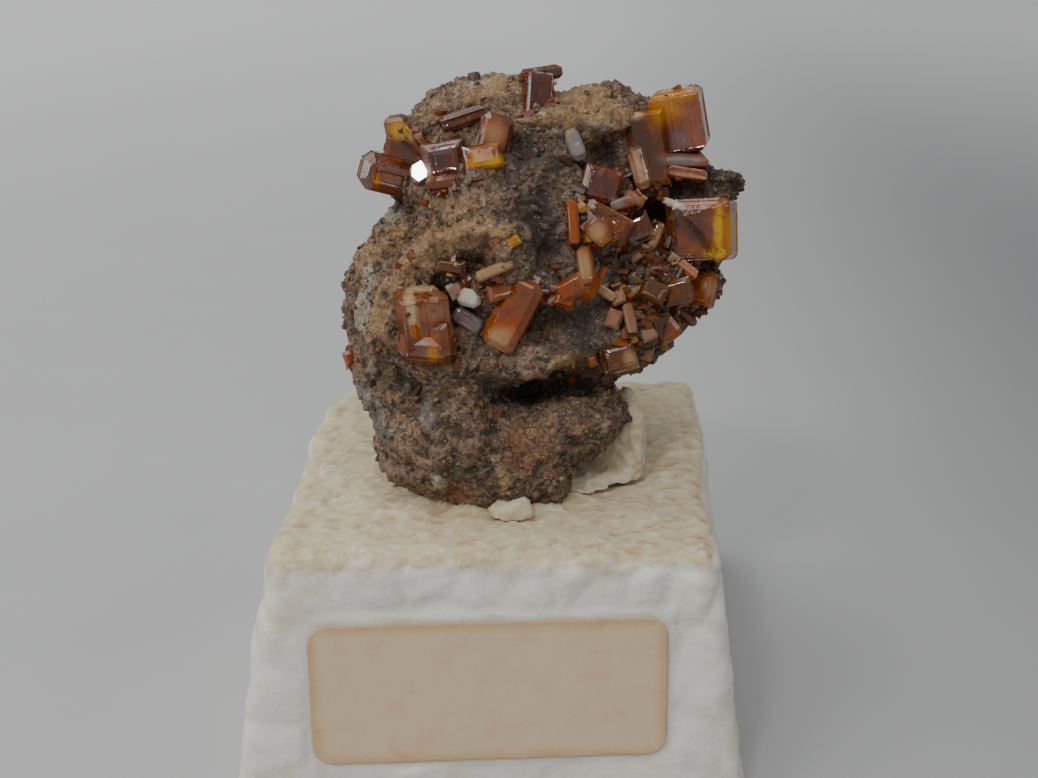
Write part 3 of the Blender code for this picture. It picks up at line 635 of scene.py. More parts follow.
class RockSettings(bpy.types.PropertyGroup):
    """The matrix and what lies on it."""
    cell: length("Cell", "Side of the cells that the rock's mesh is made of", 0.17)
    lump_height: length("Lump height", "Height of the lumps on the rock", 0.26)
    ridge_height: length("Ridge height", "Height of the sharp ridges on the rock", 0.2)
    grain_height: length("Grain height", "Height of the grains on the rock", 0.09)
    seat_reach: length("Seat reach", "How far the rock is drawn to a crystal's face", 0.3)
    collar_reach: length("Collar reach", "How far the crust rises round a crystal", 0.9)
    collar_height: length("Collar height", "How high the crust rises round a crystal", 0.5)
    brown: colour("Brown", "The rock's main colour", tone(138, 115, 93))
    dark: colour("Dark", "The rock's darker mottles", tone(62, 50, 42))
    tan: colour("Tan", "The crust on the ridges", tone(166, 132, 90))
    # Dark rock colour, also used as painted shade in the hollows, the low places and the black
    # patches
    black: colour("Black", "The deep hollows", tone(58, 54, 50))
    rust: colour("Rust", "The iron stains", tone(128, 82, 52))
    slate: colour("Slate", "The blue-grey mottles", tone(110, 114, 116))
    blush: colour("Blush", "The pinkish grains", tone(164, 124, 104))
    pale: colour("Pale", "The greenish white crust", tone(176, 174, 154))
    green: colour("Green", "The green stain", tone(98, 100, 68))
    # Painted highlight: a pale colour on scattered grains, whose lower roughness gives real glints
    # as well
    glint: colour("Glint", "The sparkling grains", tone(206, 200, 186))
    crumbs: count("Crumbs", "How many loose grains lie on the rock", 1500)
    small_crystals: count("Small crystals", "How many small crystals grow on the rock", 1300)
    middling_crystals: count("Middling crystals", "How many fill the gaps between the large", 110)
    riding_crystals: count("Riding crystals", "How many small ones grow on the large ones", 90)


class CrystalSettings(bpy.types.PropertyGroup):
    """The wulfenite crystals."""
    cell: length("Cell", "The longest edge in the crystals' meshes", 0.2)
    bevel: length("Bevel", "Width of the worn edges", 0.03)
    step_height: length("Step height", "Height of the growth steps on the faces", 0.05)
    terrace_room: length("Terrace room", "Width of the narrowest face with growth steps", 0.7)
    chip_depth: length("Chip depth", "Depth of the deepest chips in the edges", 0.09)
    absorbed: colour("Absorbed", "The colour that light keeps inside a crystal", (0.98, 0.6, 0.1))
    density: bpy.props.FloatProperty(
        name="Density", description="How fast light is absorbed, for each metre", default=600.0)
    bright_plate: length("Bright plate", "Half the width of the plate that glints", 0.57)


class FoamSettings(bpy.types.PropertyGroup):
    """The foam block."""
    cell: length("Cell", "Side of the cells that the block's mesh is made of", 0.25)
    bead: length("Bead", "Width of a fused bead", 4.6)
    seam_depth: length("Seam depth", "Depth of the seams between beads", 0.05)
    torn_reach: length("Torn reach", "How far from the foot the foam is torn up", 1.8)
    torn_height: length("Torn height", "How high the foam is torn up by the foot", 0.45)
    seat_reach: length("Seat reach", "How far the foam is drawn to the foot", 0.4)
    cream: colour("Cream", "The yellowed foam of the cut top", tone(201, 186, 153))
    white: colour("White", "The foam of the sides", tone(220, 217, 208))
    stain: colour("Stain", "The brownish stain in the cuts", tone(176, 150, 108))


class LabelSettings(bpy.types.PropertyGroup):
    """The paper label."""
    cell: length("Cell", "Side of the cells that the label's mesh is made of", 0.07)
    paper: colour("Paper", "The paper's colour", tone(205, 181, 149))
    edge: colour("Edge", "The browned edge", tone(186, 150, 104))


class GlueSettings(bpy.types.PropertyGroup):
    """The dried glue."""
    cell: length("Cell", "Side of the cells that the glue's mesh is made of", 0.12)
    runs: count("Runs", "How many steps the glue runs in under the foot", 5)


class StudioSettings(bpy.types.PropertyGroup):
    """The floor and the light."""
    floor: colour("Floor", "The floor's colour", tone(179, 179, 179))
    # The far and shade colours paint light and shade onto the floor
    far: colour("Far", "The floor's colour behind the block", tone(252, 252, 252))
    shade: colour("Shade", "The floor's colour to the right", tone(96, 96, 97))
    sky: amount("Sky", "Strength of the light from all round", 0.3)
    window: power("Window", "Power of the light from the left and behind", 3.8)
    front: power("Front", "Power of the high light from the front", 1.5)
    left: power("Left", "Power of the light from the left and in front", 2.15)
    right: power("Right", "Power of the high light from the right", 0.9)
    lamp: power("Lamp", "Power of the lamp that the brightest face mirrors", 0.4)


def rock_material(settings):
    paint = Paint("matrix rock")
    broad = paint.noise(0.55, 5.0, 0.6)
    middling = paint.noise(1.7, 5.0, 0.65)
    fine = paint.noise(5.5, 5.0, 0.7)
    speckle = paint.grains(3.2)
    mottle = paint.rising(broad * 0.4 + middling * 0.6, 0.45, 0.58)
    skin = paint.mix(mottle, settings.dark, settings.brown)
    broken = (middling - 0.5) * 1.3 + (fine - 0.5) * 1.3
    # The black patches paint shade into the hollows as well as dark rock
    for name in ("slate", "rust", "tan", "pale", "green", "black"):
        cover = paint.rising(paint.value_of(name) + broken * 1.25, 0.4, 0.7)
        skin = paint.mix(cover * 0.9, skin, getattr(settings, name))
    sand = paint.node("ShaderNodeSeparateColor", None,
                      {"Color": paint.grains(5.5, output="Color")})
    flecks = paint.node("ShaderNodeValToRGB", {"stops": [
        (0.0, settings.black), (0.25, settings.dark), (0.5, settings.brown), (0.68, settings.rust),
        (0.8, settings.blush), (0.88, settings.tan), (0.95, settings.slate),
        (1.0, settings.pale)]}, {"Fac": sand})
    skin = paint.mix(0.46, skin, flecks)
    skin = paint.mix(paint.rising(fine, 0.5, 0.7) * 0.35, skin, settings.tan)
    # Painted shade: the lower a place lies in the rock's relief, the darker it is painted
    low = paint.rising(0.0 - paint.value_of("relief"), 0.1, 0.9)
    skin = paint.mix(low * 0.75, skin, settings.black)
    dots = 1.0 - paint.rising(speckle, 0.12, 0.26)
    skin = paint.mix(dots * paint.rising(middling, 0.46, 0.58) * 0.9, skin, settings.black)
    # Painted highlight: scattered grains painted pale as glints, with their roughness lowered too
    glint = (1.0 - paint.rising(paint.grains(4.0), 0.08, 0.15)) * paint.rising(broad, 0.36, 0.52)
    skin = paint.mix(glint * 0.95, skin, settings.glint)
    height = fine * 0.9 + middling * 0.7 + paint.grains(6.0) * 0.5
    normal = paint.bump(height, 0.12, 1.0)
    rough = (0.92 - glint * 0.65 - paint.value_of("smooth") * 0.3
             - paint.rising(fine, 0.56, 0.72) * 0.3)
    return paint.finish(paint.surface({"Base Color": skin, "Roughness": rough, "Normal": normal,
                                       "IOR": 1.5}))


def crystal_material(name, settings):
    paint = Paint(name)
    hue = paint.colour_of("hue")
    veil = paint.noise(1.1, 5.0, 0.6)
    wisps = paint.noise(1.0, 4.0, 0.6, paint.stretched(3.2, 3.2, 0.7))
    flaws = paint.grains(1.6, "DISTANCE_TO_EDGE")
    body = paint.mix(paint.rising(veil, 0.4, 0.75) * 0.4, hue, TONES["red brown"])
    body = paint.mix(paint.rising(wisps, 0.54, 0.74) * 0.35, body, TONES["honey"])
    crack = 1.0 - paint.rising(flaws, 0.0, 0.035)
    body = paint.mix(crack * paint.rising(veil, 0.55, 0.65) * 0.3, body, TONES["frost"])
    rippled = 1.0 - paint.value_of("mirror")
    rough = 0.05 + paint.rising(paint.noise(1.6), 0.4, 0.8) * rippled * 0.13
    striae = paint.node("ShaderNodeTexNoise", {"noise_dimensions": "1D"},
                        {"W": paint.value_of("layers"), "Scale": 7.0, "Detail": 4.0,
                         "Roughness": 0.6})
    body = paint.mix(paint.rising(striae, 0.48, 0.66) * 0.3, body, TONES["dark brown"])
    waves = striae * 0.8 + paint.noise(0.8) * 1.2 + paint.noise(6.0) * 0.06
    normal = paint.bump(waves * rippled, 0.03, 0.4)
    skin = {"Base Color": body, "Roughness": rough, "Normal": normal, "IOR": WULFENITE_IOR,
            "Specular IOR Level": LARGE_SHINE}
    clear = paint.surface({**skin, "Transmission Weight": 1.0})
    clouded = paint.surface({**skin, "Subsurface Weight": 0.25, "Subsurface Scale": 0.6 * MM,
                             "Subsurface Radius": (1.0, 0.45, 0.15)})
    cloud = paint.value_of("cloud") + (veil - 0.5) * 0.9
    both = paint.node("ShaderNodeMixShader", None,
                      {0: paint.rising(cloud, 0.05, 0.95), 1: clear, 2: clouded})
    volume = paint.node("ShaderNodeVolumeAbsorption", None,
                        {"Color": settings.absorbed, "Density": settings.density})
    return paint.finish(both, volume)


def plate_material():
    paint = Paint("clean wulfenite face")
    # Painted reflection: the plate is painted white, over the real reflection of its lamp
    body = paint.mix(paint.noise(1.4) * 0.5, TONES["white"], TONES["frost"])
    return paint.finish(paint.surface({"Base Color": body, "Roughness": paint.noise(2.0) * 0.08,
                                       "IOR": WULFENITE_IOR}))


def bright_face():
    """The place of the bright plate on its crystal, and the facing that throws its lamp's light
    to the eye."""
    spot = MIRROR_FACES[0]
    sight = (seen(spot.across, spot.up, 0.0) - EYE).normalized()
    found = crystal_tree().ray_cast(EYE, sight)[0]
    return found, (LAMP_WAY - sight).normalized()


def small_crystal_material():
    paint = Paint("small wulfenite")
    body = paint.mix(paint.noise(3.0) * 0.5, paint.colour_of("hue"), TONES["dark brown"])
    rough = 0.18 + paint.noise(5.0) * 0.35
    normal = paint.bump(paint.noise(9.0), 0.02, 0.5)
    return paint.finish(paint.surface({"Base Color": body, "Roughness": rough, "Normal": normal,
                                       "IOR": WULFENITE_IOR,
                                       "Specular IOR Level": SMALL_SHINE}))


def foam_material(settings):
    paint = Paint("foam")
    streaks = paint.node("ShaderNodeTexNoise", None, {
        "Vector": paint.stretched(0.2, 0.62, 0.6), "Scale": 1.0, "Detail": 7.0,
        "Roughness": 0.7, "Distortion": 2.4})
    fine = paint.noise(3.2, 4.0, 0.6)
    blots = paint.noise(0.35, 4.0, 0.6)
    top = paint.value_of("cut")
    side = paint.mix(paint.rising(blots, 0.45, 0.7) * 0.4, settings.white, settings.cream)
    # Partly stain and partly painted light and shade: the hollows between the tufts are painted
    # darker and the raised tufts whiter
    low = paint.value_of("hollow") + (streaks - 0.5) * 0.9 + (fine - 0.5) * 0.4
    flat = paint.mix(paint.rising(low, 0.42, 0.95) * 0.8, settings.cream, settings.stain)
    flat = paint.mix((1.0 - paint.rising(low, 0.1, 0.42)) * 0.5, flat, settings.white)
    ragged = (fine - 0.5) * 0.9 + (blots - 0.5) * 0.8
    skin = paint.mix(paint.rising(top + ragged, 0.3, 0.75), side, flat)
    skin = paint.mix(paint.value_of("seam") * 0.06, skin, settings.stain)
    skin = paint.mix(paint.rising(fine, 0.55, 0.8) * 0.15, skin, settings.stain)
    normal = paint.bump(streaks * 0.2 + fine * 0.5 + paint.grains(3.4) * 0.4, 0.08, 0.6)
    return paint.finish(paint.surface({
        "Base Color": skin, "Roughness": 0.2 + fine * 0.35 + top * 0.3, "Normal": normal, "IOR": 1.4,
        "Subsurface Weight": 0.3, "Subsurface Radius": (1.0, 0.9, 0.75),
        "Subsurface Scale": 1.2 * MM}))


def label_material(settings):
    paint = Paint("label paper")
    fibres = paint.noise(4.5, 5.0, 0.7, paint.stretched(1.0, 1.0, 2.6))
    blots = paint.noise(0.5, 3.0, 0.6)
    rim = paint.value_of("rim")
    brown = paint.rising(rim + (blots - 0.5) * 0.6, 0.2, 1.1)
    skin = paint.mix(paint.rising(blots, 0.5, 0.75) * 0.3, settings.paper, settings.edge)
    skin = paint.mix(brown * 0.8, skin, settings.edge)
    skin = paint.mix((fibres - 0.5) * 0.5, skin, TONES["brown"])
    normal = paint.bump(fibres, 0.02, 0.5)
    return paint.finish(paint.surface({"Base Color": skin, "Roughness": 0.8, "Normal": normal,
                                       "IOR": 1.45}))


def glue_material():
    paint = Paint("dried glue")
    cloud = paint.noise(1.3, 5.0, 0.6)
    skin = paint.mix(paint.rising(cloud, 0.35, 0.7), tone(202, 191, 166), tone(188, 172, 138))
    normal = paint.bump(paint.noise(2.6, 5.0) + paint.grains(1.8) * 0.4, 0.08, 0.6)
    return paint.finish(paint.surface({
        "Base Color": skin, "Roughness": 0.3 + cloud * 0.3, "Normal": normal, "IOR": 1.47,
        "Subsurface Weight": 0.5, "Subsurface Radius": (1.0, 0.9, 0.7),
        "Subsurface Scale": 0.9 * MM}))


def floor_material(settings):
    paint = Paint("floor")
    grain = paint.noise(0.08, 3.0, 0.5)
    pale = tuple(part * 0.94 for part in settings.floor)
    skin = paint.mix(grain, settings.floor, pale)
    rightward = paint.node("ShaderNodeSeparateXYZ", None, {"Vector": paint.place})
    away = paint.node("ShaderNodeVectorMath", {"operation": "LENGTH"}, {0: paint.place}, "Value")
    # Painted shade and light: the floor is painted darker to the right, and lighter behind the block
    # and far off
    skin = paint.mix(paint.rising(rightward, 0.0, 80.0) * 0.8, skin, settings.shade)
    skin = paint.mix(paint.rising(away, 60.0, 400.0) * 0.5, skin, settings.far)
    skin = paint.mix(paint.rising(away, 300.0, 2500.0), skin, (0.95, 0.95, 0.95))
    return paint.finish(paint.surface({"Base Color": skin, "Roughness": 0.85,
                                       "Normal": paint.bump(grain, 0.1, 0.2)}))


def draw_to(mesh, tree, reach, sunk):
    """Draws the mesh's points that are within reach of the tree's faces to them or just inside."""
    places = places_of(mesh)
    for index, place in enumerate(places):
        found, out, _, off = tree.find_nearest(Vector(place), reach * 1.6)
        if found is None:
            continue
        share = min(1.0, max(0.0, (reach * 1.6 - off) / (reach * 0.6)))
        places[index] = Vector(place).lerp(found - out * sunk, share)
    set_places(mesh, places)


def closeness(places, tree, reach):
    """1 for the places on the tree's faces, falling to 0 at the reach."""
    close = np.zeros(len(places))
    for index, place in enumerate(places):
        found, _, _, off = tree.find_nearest(Vector(place), reach)
        if found is not None:
            close[index] = 1.0 - off / reach
    return close


def rock_relief(settings, places, collar):
    """How far each place of the rock stands out: crust, grains, hollows and ridges."""
    across, up, near = as_seen(places)
    facing = facing_eye(near)
    calm = 1.0 - 0.85 * covered_by_any(ROCK_STAINS_AND_SHADE["smooth"], across, up) * facing
    relief = (field(places, 0.55, lumps) * (settings.lump_height / MM)
              + field(places, 0.9, ridges) * (settings.ridge_height / MM)
              + field(places, 2.3, ridges) * (settings.grain_height / MM)
              + field(places, 2.6, lumps) * (settings.grain_height / MM))
    relief *= calm
    sunk = np.clip(covered_by_any(ROCK_STAINS_AND_SHADE["black"], across, up), 0.0, 1.0)
    relief -= BLACK_DEPTH * facing * sunk
    ragged = 0.75 + 0.5 * field(places, 1.4, lumps)
    for line, height in ROCK_RIDGES:
        off = off_line(line, across, up)
        relief += 1.5 * facing * height * ragged * np.clip(1.0 - off / 0.5, 0.0, 1.0)
    relief += collar * (settings.collar_height / MM) * np.clip(
        0.7 + 0.9 * field(places, 1.3, lumps, 9.0), 0.0, 1.4)
    return relief


def set_stains_and_shade(mesh, places, collar):
    """Writes the strength of each crust, stain and patch of painted shade, which are scattered where
    the eye sees none.
    """
    across, up, near = as_seen(places)
    facing = facing_eye(near)
    for name, spots in ROCK_STAINS_AND_SHADE.items():
        front = covered_by_any(spots, across, up) * facing
        shift = 40.0 + 7.0 * len(name) + len(spots)
        back = np.clip(field(places, 0.16, lumps, shift) * 1.3, 0.0, 0.9) * (1.0 - facing)
        if name in ("smooth", "green", "pale"):
            back *= 0.4
        stain = front + back
        if name == "rust":
            stain = np.maximum(stain, collar * 0.7)
        set_values(mesh, name, stain)


class SPECIMEN_OT_rock(bpy.types.Operator):
    """Builds the matrix with its crust, ridges, grains and hollows"""
    bl_idname = "specimen.rock"
    bl_label = "Matrix"

    def execute(self, context):
        settings = context.scene.specimen_rock
        crystals = crystal_tree()
        mesh = remeshed(node_mesh("matrix"), settings.cell / MM)
        places = places_of(mesh)
        collar = closeness(places, crystals, settings.collar_reach / MM)
        relief = rock_relief(settings, places, collar)
        raise_points(mesh, relief)
        set_stains_and_shade(mesh, places, collar)
        broad = field(places, 0.22, lumps)
        # The rock's material paints shade into the low places by this value
        set_values(mesh, "relief", np.clip(relief * 2.0 - 0.1 + broad * 0.2, -1.0, 1.0))
        draw_to(mesh, crystals, settings.seat_reach / MM, SEAT_DEPTH)
        shown("rock", mesh, rock_material(settings), "matrix", "matrix")
        return {"FINISHED"}


def tabular(width, thickness, bevel):
    """The points and faces of a square plate with its rims cut back."""
    points, faces = [], []
    for level, side in ((-1, width - bevel), (0, width), (1, width - bevel)):
        for x, y in ((-1, -1), (1, -1), (1, 1), (-1, 1)):
            points.append(Vector((x * side, y * side, level * thickness)) / 2)
    faces.append((3, 2, 1, 0))
    faces.append((8, 9, 10, 11))
    for row in (0, 4):
        for corner in range(4):
            after = (corner + 1) % 4
            faces.append((row + corner, row + after, row + 4 + after, row + 4 + corner))
    return points, faces


def scattered(rng, ground, wanted, allowed):
    """Random places on a mesh, each with its facing, where allowed says so."""
    ground.calc_loop_triangles()
    triangles = list(ground.loop_triangles)
    areas = list(itertools.accumulate(triangle.area for triangle in triangles))
    found = []
    for _ in range(wanted * TRIES_FOR_EACH):
        if len(found) == wanted:
            break
        triangle = rng.choices(triangles, cum_weights=areas)[0]
        a, b, c = (ground.vertices[corner].co for corner in triangle.vertices)
        u, v = sorted((rng.random(), rng.random()))
        place = a * u + b * (v - u) + c * (1.0 - v)
        if rng.random() < allowed(place):
            found.append((place, triangle.normal.copy()))
    return found


def crystal_crowd(rng, name, grounds):
    """One mesh of many small plates that grow out of the given places."""
    points, faces, colours, layers = [], [], [], []
    least, most, tones = CROWDS[name]
    for place, out in grounds:
        width = least + (most - least) * rng.random() ** 2.2
        shape, skin = tabular(width, width * rng.uniform(0.3, 0.7), width * 0.2)
        axis = Vector([rng.gauss(0, 1) for _ in range(3)]).normalized()
        turn = Matrix.Rotation(rng.uniform(0, math.tau), 3, axis)
        first = len(points)
        points += [place - out * width * 0.1 + turn @ point for point in shape]
        faces += [[first + corner for corner in face] for face in skin]
        layers += [shape[corner].z for face in skin for corner in face]
        chosen = rng.choices(list(tones), list(tones.values()))[0]
        colours += [TONES[chosen]] * len(shape)
    mesh = bpy.data.meshes.new(name)
    mesh.from_pydata(points, [], faces)
    set_colours(mesh, "hue", colours)
    set_values(mesh, "cloud", np.full(len(points), CROWD_CLOUD))
    set_values(mesh, "layers", layers, "CORNER")
    return mesh


class SPECIMEN_OT_small_crystals(bpy.types.Operator):
    """Scatters the small crystals and loose grains over the matrix"""
    bl_idname = "specimen.small_crystals"
    bl_label = "Small crystals and grains"

    def execute(self, context):
        settings = context.scene.specimen_rock
        rock = bpy.data.objects["rock"].data.copy()
        rock.transform(Matrix.Scale(1.0 / MM, 4))
        whole = bmesh.new()
        for name in CRYSTAL_NODES:
            whole.from_mesh(node_mesh(name))
        large = mesh_of("large", whole)
        dull = small_crystal_material()
        glassy = crystal_material("small clear wulfenite", context.scene.specimen_crystals)
        rng = random.Random(CROWD_SEED)
        for name, ground, allowed, material in (
                ("small_crystals", rock, crystal_ground, dull),
                ("middling_crystals", rock, coarse_ground, glassy),
                ("riding_crystals", large, rider_ground, glassy)):
            places = scattered(rng, ground, getattr(settings, name), allowed)
            crowd = shown(name, crystal_crowd(rng, name, places), material, "wulfenite")
            crowd.data.shade_flat()
        self.add_crumbs(rock, settings.crumbs)
        return {"FINISHED"}

    def add_crumbs(self, rock, wanted):
        """Adds the loose grains, which have the rock's own material."""
        rng = random.Random(CRUMB_SEED)
        noise.seed_set(CRUMB_SEED)
        bm = bmesh.new()
        for place, _ in scattered(rng, rock, wanted, crumb_ground):
            size = rng.uniform(*CRUMB_SIZES)
            sides = [size * rng.uniform(0.6, 1.3) for _ in range(3)]
            turn = Matrix.Rotation(rng.uniform(0, math.tau), 4, place.normalized())
            shape = Matrix.Translation(place) @ turn @ Matrix.Diagonal((*sides, 1.0))
            bmesh.ops.create_icosphere(bm, subdivisions=1, radius=1.0, matrix=shape)
        for vert in bm.verts:
            vert.co += noise.noise_vector(vert.co * 3.1) * 0.09
        mesh = mesh_of("crumbs", bm)
        across, up, near = as_seen(places_of(mesh))
        for name, spots in ROCK_STAINS_AND_SHADE.items():
            set_values(mesh, name, covered_by_any(spots, across, up) * facing_eye(near))
        set_values(mesh, "relief", np.full(len(near), 0.3))
        shown("crumbs", mesh, bpy.data.materials["matrix rock"], "matrix")


def on_face(place):
    """Across, up and near of one place in millimetres."""
    return (float(part[0]) for part in as_seen(np.array([place])))


def crystal_ground(place):
    """How likely a small crystal is to grow there."""
    across, up, near = on_face(place)
    bare = ROCK_STAINS_AND_SHADE["smooth"] + MIRROR_FACES
    if place.z < LOWEST_CRYSTAL or covered_at(bare, across, up) > 0.2:
        return 0.0
    if near < -1.5:
        return 0.02
    return 0.015 + 0.98 * covered_at(DRUSES, across, up) ** 2 if up > -0.5 else 0.004


def coarse_ground(place):
    """How likely a middling crystal is to grow there."""
    across, up, near = on_face(place)
    if near < -3.0 or covered_at(MIRROR_FACES, across, up) > 0.05:
        return 0.0
    return covered_at(COARSE_DRUSES, across, up) ** 2


def rider_ground(place):
    """How likely a small crystal is to grow there on a large one."""
    across, up, _ = on_face(place)
    if covered_at(MIRROR_FACES, across, up) > 0.1:
        return 0.0
    return 0.02 + covered_at(OVERGROWN, across, up) ** 2


def crumb_ground(place):
    """How likely a loose grain is to lie there."""
    if place.z < LOWEST_CRUMB:
        return 0.0
    across, up, near = on_face(place)
    smooth = covered_at(ROCK_STAINS_AND_SHADE["smooth"], across, up)
    return 0.0 if smooth > 0.2 and near > 0.0 else 0.8


def layer_directions(bm):
    """For each face, the direction that the layers of its crystal are stacked in."""
    directions = []
    for face in bm.faces:
        beside = [other for edge in face.edges for other in edge.link_faces]
        widest = max(beside, key=lambda other: other.calc_area())
        directions.append(widest.normal.copy())
    return directions


def is_convex(face):
    """True if none of the face's corners turns inwards, so that it can be inset."""
    corners = [loop.vert.co for loop in face.loops]
    for index, corner in enumerate(corners):
        before, after = corners[index - 1], corners[(index + 1) % len(corners)]
        if (corner - before).cross(after - corner).dot(face.normal) < 0.0:
            return False
    return True


def add_terraces(bm, rng, settings):
    """Raises or sinks the middles of the wide faces by a few growth steps."""
    for face in list(bm.faces):
        across, up, _ = on_face(face.calc_center_median())
        if covered_at(MIRROR_FACES, across, up) > 0.4 or not is_convex(face):
            continue
        for _ in range(rng.randint(1, 3)):
            room = math.sqrt(face.calc_area())
            if room < settings.terrace_room / MM:
                break
            inset = room * rng.uniform(0.05, 0.16)
            step = rng.choice((-1.0, 1.0)) * rng.uniform(0.4, 1.0) * settings.step_height / MM
            bmesh.ops.inset_individual(bm, faces=[face], thickness=inset, depth=step,
                                       use_even_offset=False)
            side = face.normal.cross(Vector([rng.gauss(0, 1) for _ in range(3)])).normalized()
            for vert in face.verts:
                vert.co += side * inset * 0.7


def divide(bm, longest):
    """Cuts the edges longer than that in two, round by round, for the tones that points hold."""
    bmesh.ops.triangulate(bm, faces=bm.faces)
    for _ in range(CUT_ROUNDS):
        long_edges = [edge for edge in bm.edges if edge.calc_length() > longest]
        bmesh.ops.subdivide_edges(bm, edges=long_edges, cuts=1)
        bmesh.ops.triangulate(bm, faces=[face for face in bm.faces if len(face.verts) > 3])


def chip_edges(bm, depth):
    """Wears the sharp edges back by up to the depth, here and there."""
    for vert in bm.verts:
        if any(edge.calc_face_angle(0.0) > SHARP_ANGLE for edge in vert.link_edges):
            worn = max(0.0, noise.fractal(vert.co * 1.7, 0.8, 2.0, 3))
            vert.co -= vert.normal * worn * depth


def grown_crystal(name, settings):
    """A crystal node's mesh with terraced faces and chipped edges, and what its material reads."""
    rng = random.Random(len(name) * CRYSTAL_SEED)
    bm = bmesh.new()
    bm.from_mesh(node_mesh(name))
    bmesh.ops.dissolve_limit(bm, angle_limit=FLAT_ANGLE, verts=bm.verts, edges=bm.edges)
    directions = layer_directions(bm)
    home = bm.faces.layers.int.new("home")
    for index, face in enumerate(bm.faces):
        face[home] = index
    sharp = [edge for edge in bm.edges if edge.calc_face_angle(0.0) > SHARP_ANGLE]
    bmesh.ops.bevel(bm, geom=sharp, offset=settings.bevel / MM, segments=1, affect="EDGES",
                    clamp_overlap=True)
    add_terraces(bm, rng, settings)
    divide(bm, settings.cell / MM)
    bm.normal_update()
    chip_edges(bm, settings.chip_depth / MM)
    mesh = mesh_of(name, bm)
    set_layers(mesh, directions)
    set_hues(mesh, name)
    return mesh


def set_layers(mesh, directions):
    """Writes how far up its crystal's layers each corner is, by the face that it was cut from."""
    homes = np.empty(len(mesh.polygons), np.int32)
    mesh.attributes["home"].data.foreach_get("value", homes)
    mesh.attributes.remove(mesh.attributes["home"])
    corners = np.empty(len(mesh.loops), np.int32)
    mesh.loops.foreach_get("vertex_index", corners)
    stacked = np.array(directions)[np.repeat(homes, 3)]
    set_values(mesh, "layers", (places_of(mesh)[corners] * stacked).sum(axis=1), "CORNER")


def set_hues(mesh, name):
    """Writes each point's tone, how clouded it is and how clean its face is."""
    places = places_of(mesh)
    across, up, _ = as_seen(places)
    base, cloud = CRYSTAL_TONES[name.removeprefix("wulfenite_")]
    hues = np.tile(np.array(TONES[base]), (len(places), 1))
    clouds = np.full(len(places), cloud)
    ragged = 0.5 * field(places, 1.6, lumps, 3.0 * len(name))
    for zone, spot in CRYSTAL_ZONES:
        cover = covered(spot, across, up)
        cover = np.clip((cover + ragged * 0.3 - 0.15) * 1.2, 0.0, 1.0) * (cover > 0.02)
        hues += (np.array(TONES[zone]) - hues) * cover[:, None]
        if zone in PALE_ZONES:
            clouds += (PALE_CLOUD - clouds) * cover
        elif zone in GOLDEN_ZONES:
            clouds += (GOLDEN_CLOUD - clouds) * cover
    set_colours(mesh, "hue", hues)
    set_values(mesh, "cloud", clouds)
    set_values(mesh, "mirror", np.clip(3.0 * covered_by_any(MIRROR_FACES, across, up), 0.0, 1.0))


class SPECIMEN_OT_crystals(bpy.types.Operator):
    """Grows the wulfenite crystals on their nodes"""
    bl_idname = "specimen.crystals"
    bl_label = "Wulfenite crystals"

    def execute(self, context):
        settings = context.scene.specimen_crystals
        material = crystal_material("wulfenite", settings)
        for name in CRYSTAL_NODES:
            piece_name = name.replace("wulfenite", "crystal")
            piece = shown(piece_name, grown_crystal(name, settings), material, "wulfenite", name)
            piece.data.set_sharp_from_angle(angle=SHADED_SHARP)
        self.add_bright_plate(settings)
        return {"FINISHED"}

    def add_bright_plate(self, settings):
        """The small six-sided plate whose clean face throws the lamp's light to the eye, and whose
        white colour is a painted reflection of that lamp.
        """
        found, out = bright_face()
        bm = bmesh.new()
        half = settings.bright_plate / MM
        bmesh.ops.create_cone(bm, cap_ends=True, segments=6, radius1=half * 0.8, radius2=half,
                              depth=half * 0.5)
        bmesh.ops.scale(bm, vec=Vector((0.9, 1.08, 1.0)), verts=bm.verts)
        turn = out.to_track_quat("Z", "Y").to_matrix().to_4x4()
        place = Matrix.Translation(found + out * PLATE_LIFT) @ turn
        bmesh.ops.transform(bm, matrix=place, verts=bm.verts)
        plate = shown("bright_plate", mesh_of("bright_plate", bm), plate_material(), "wulfenite")
        plate.data.shade_flat()


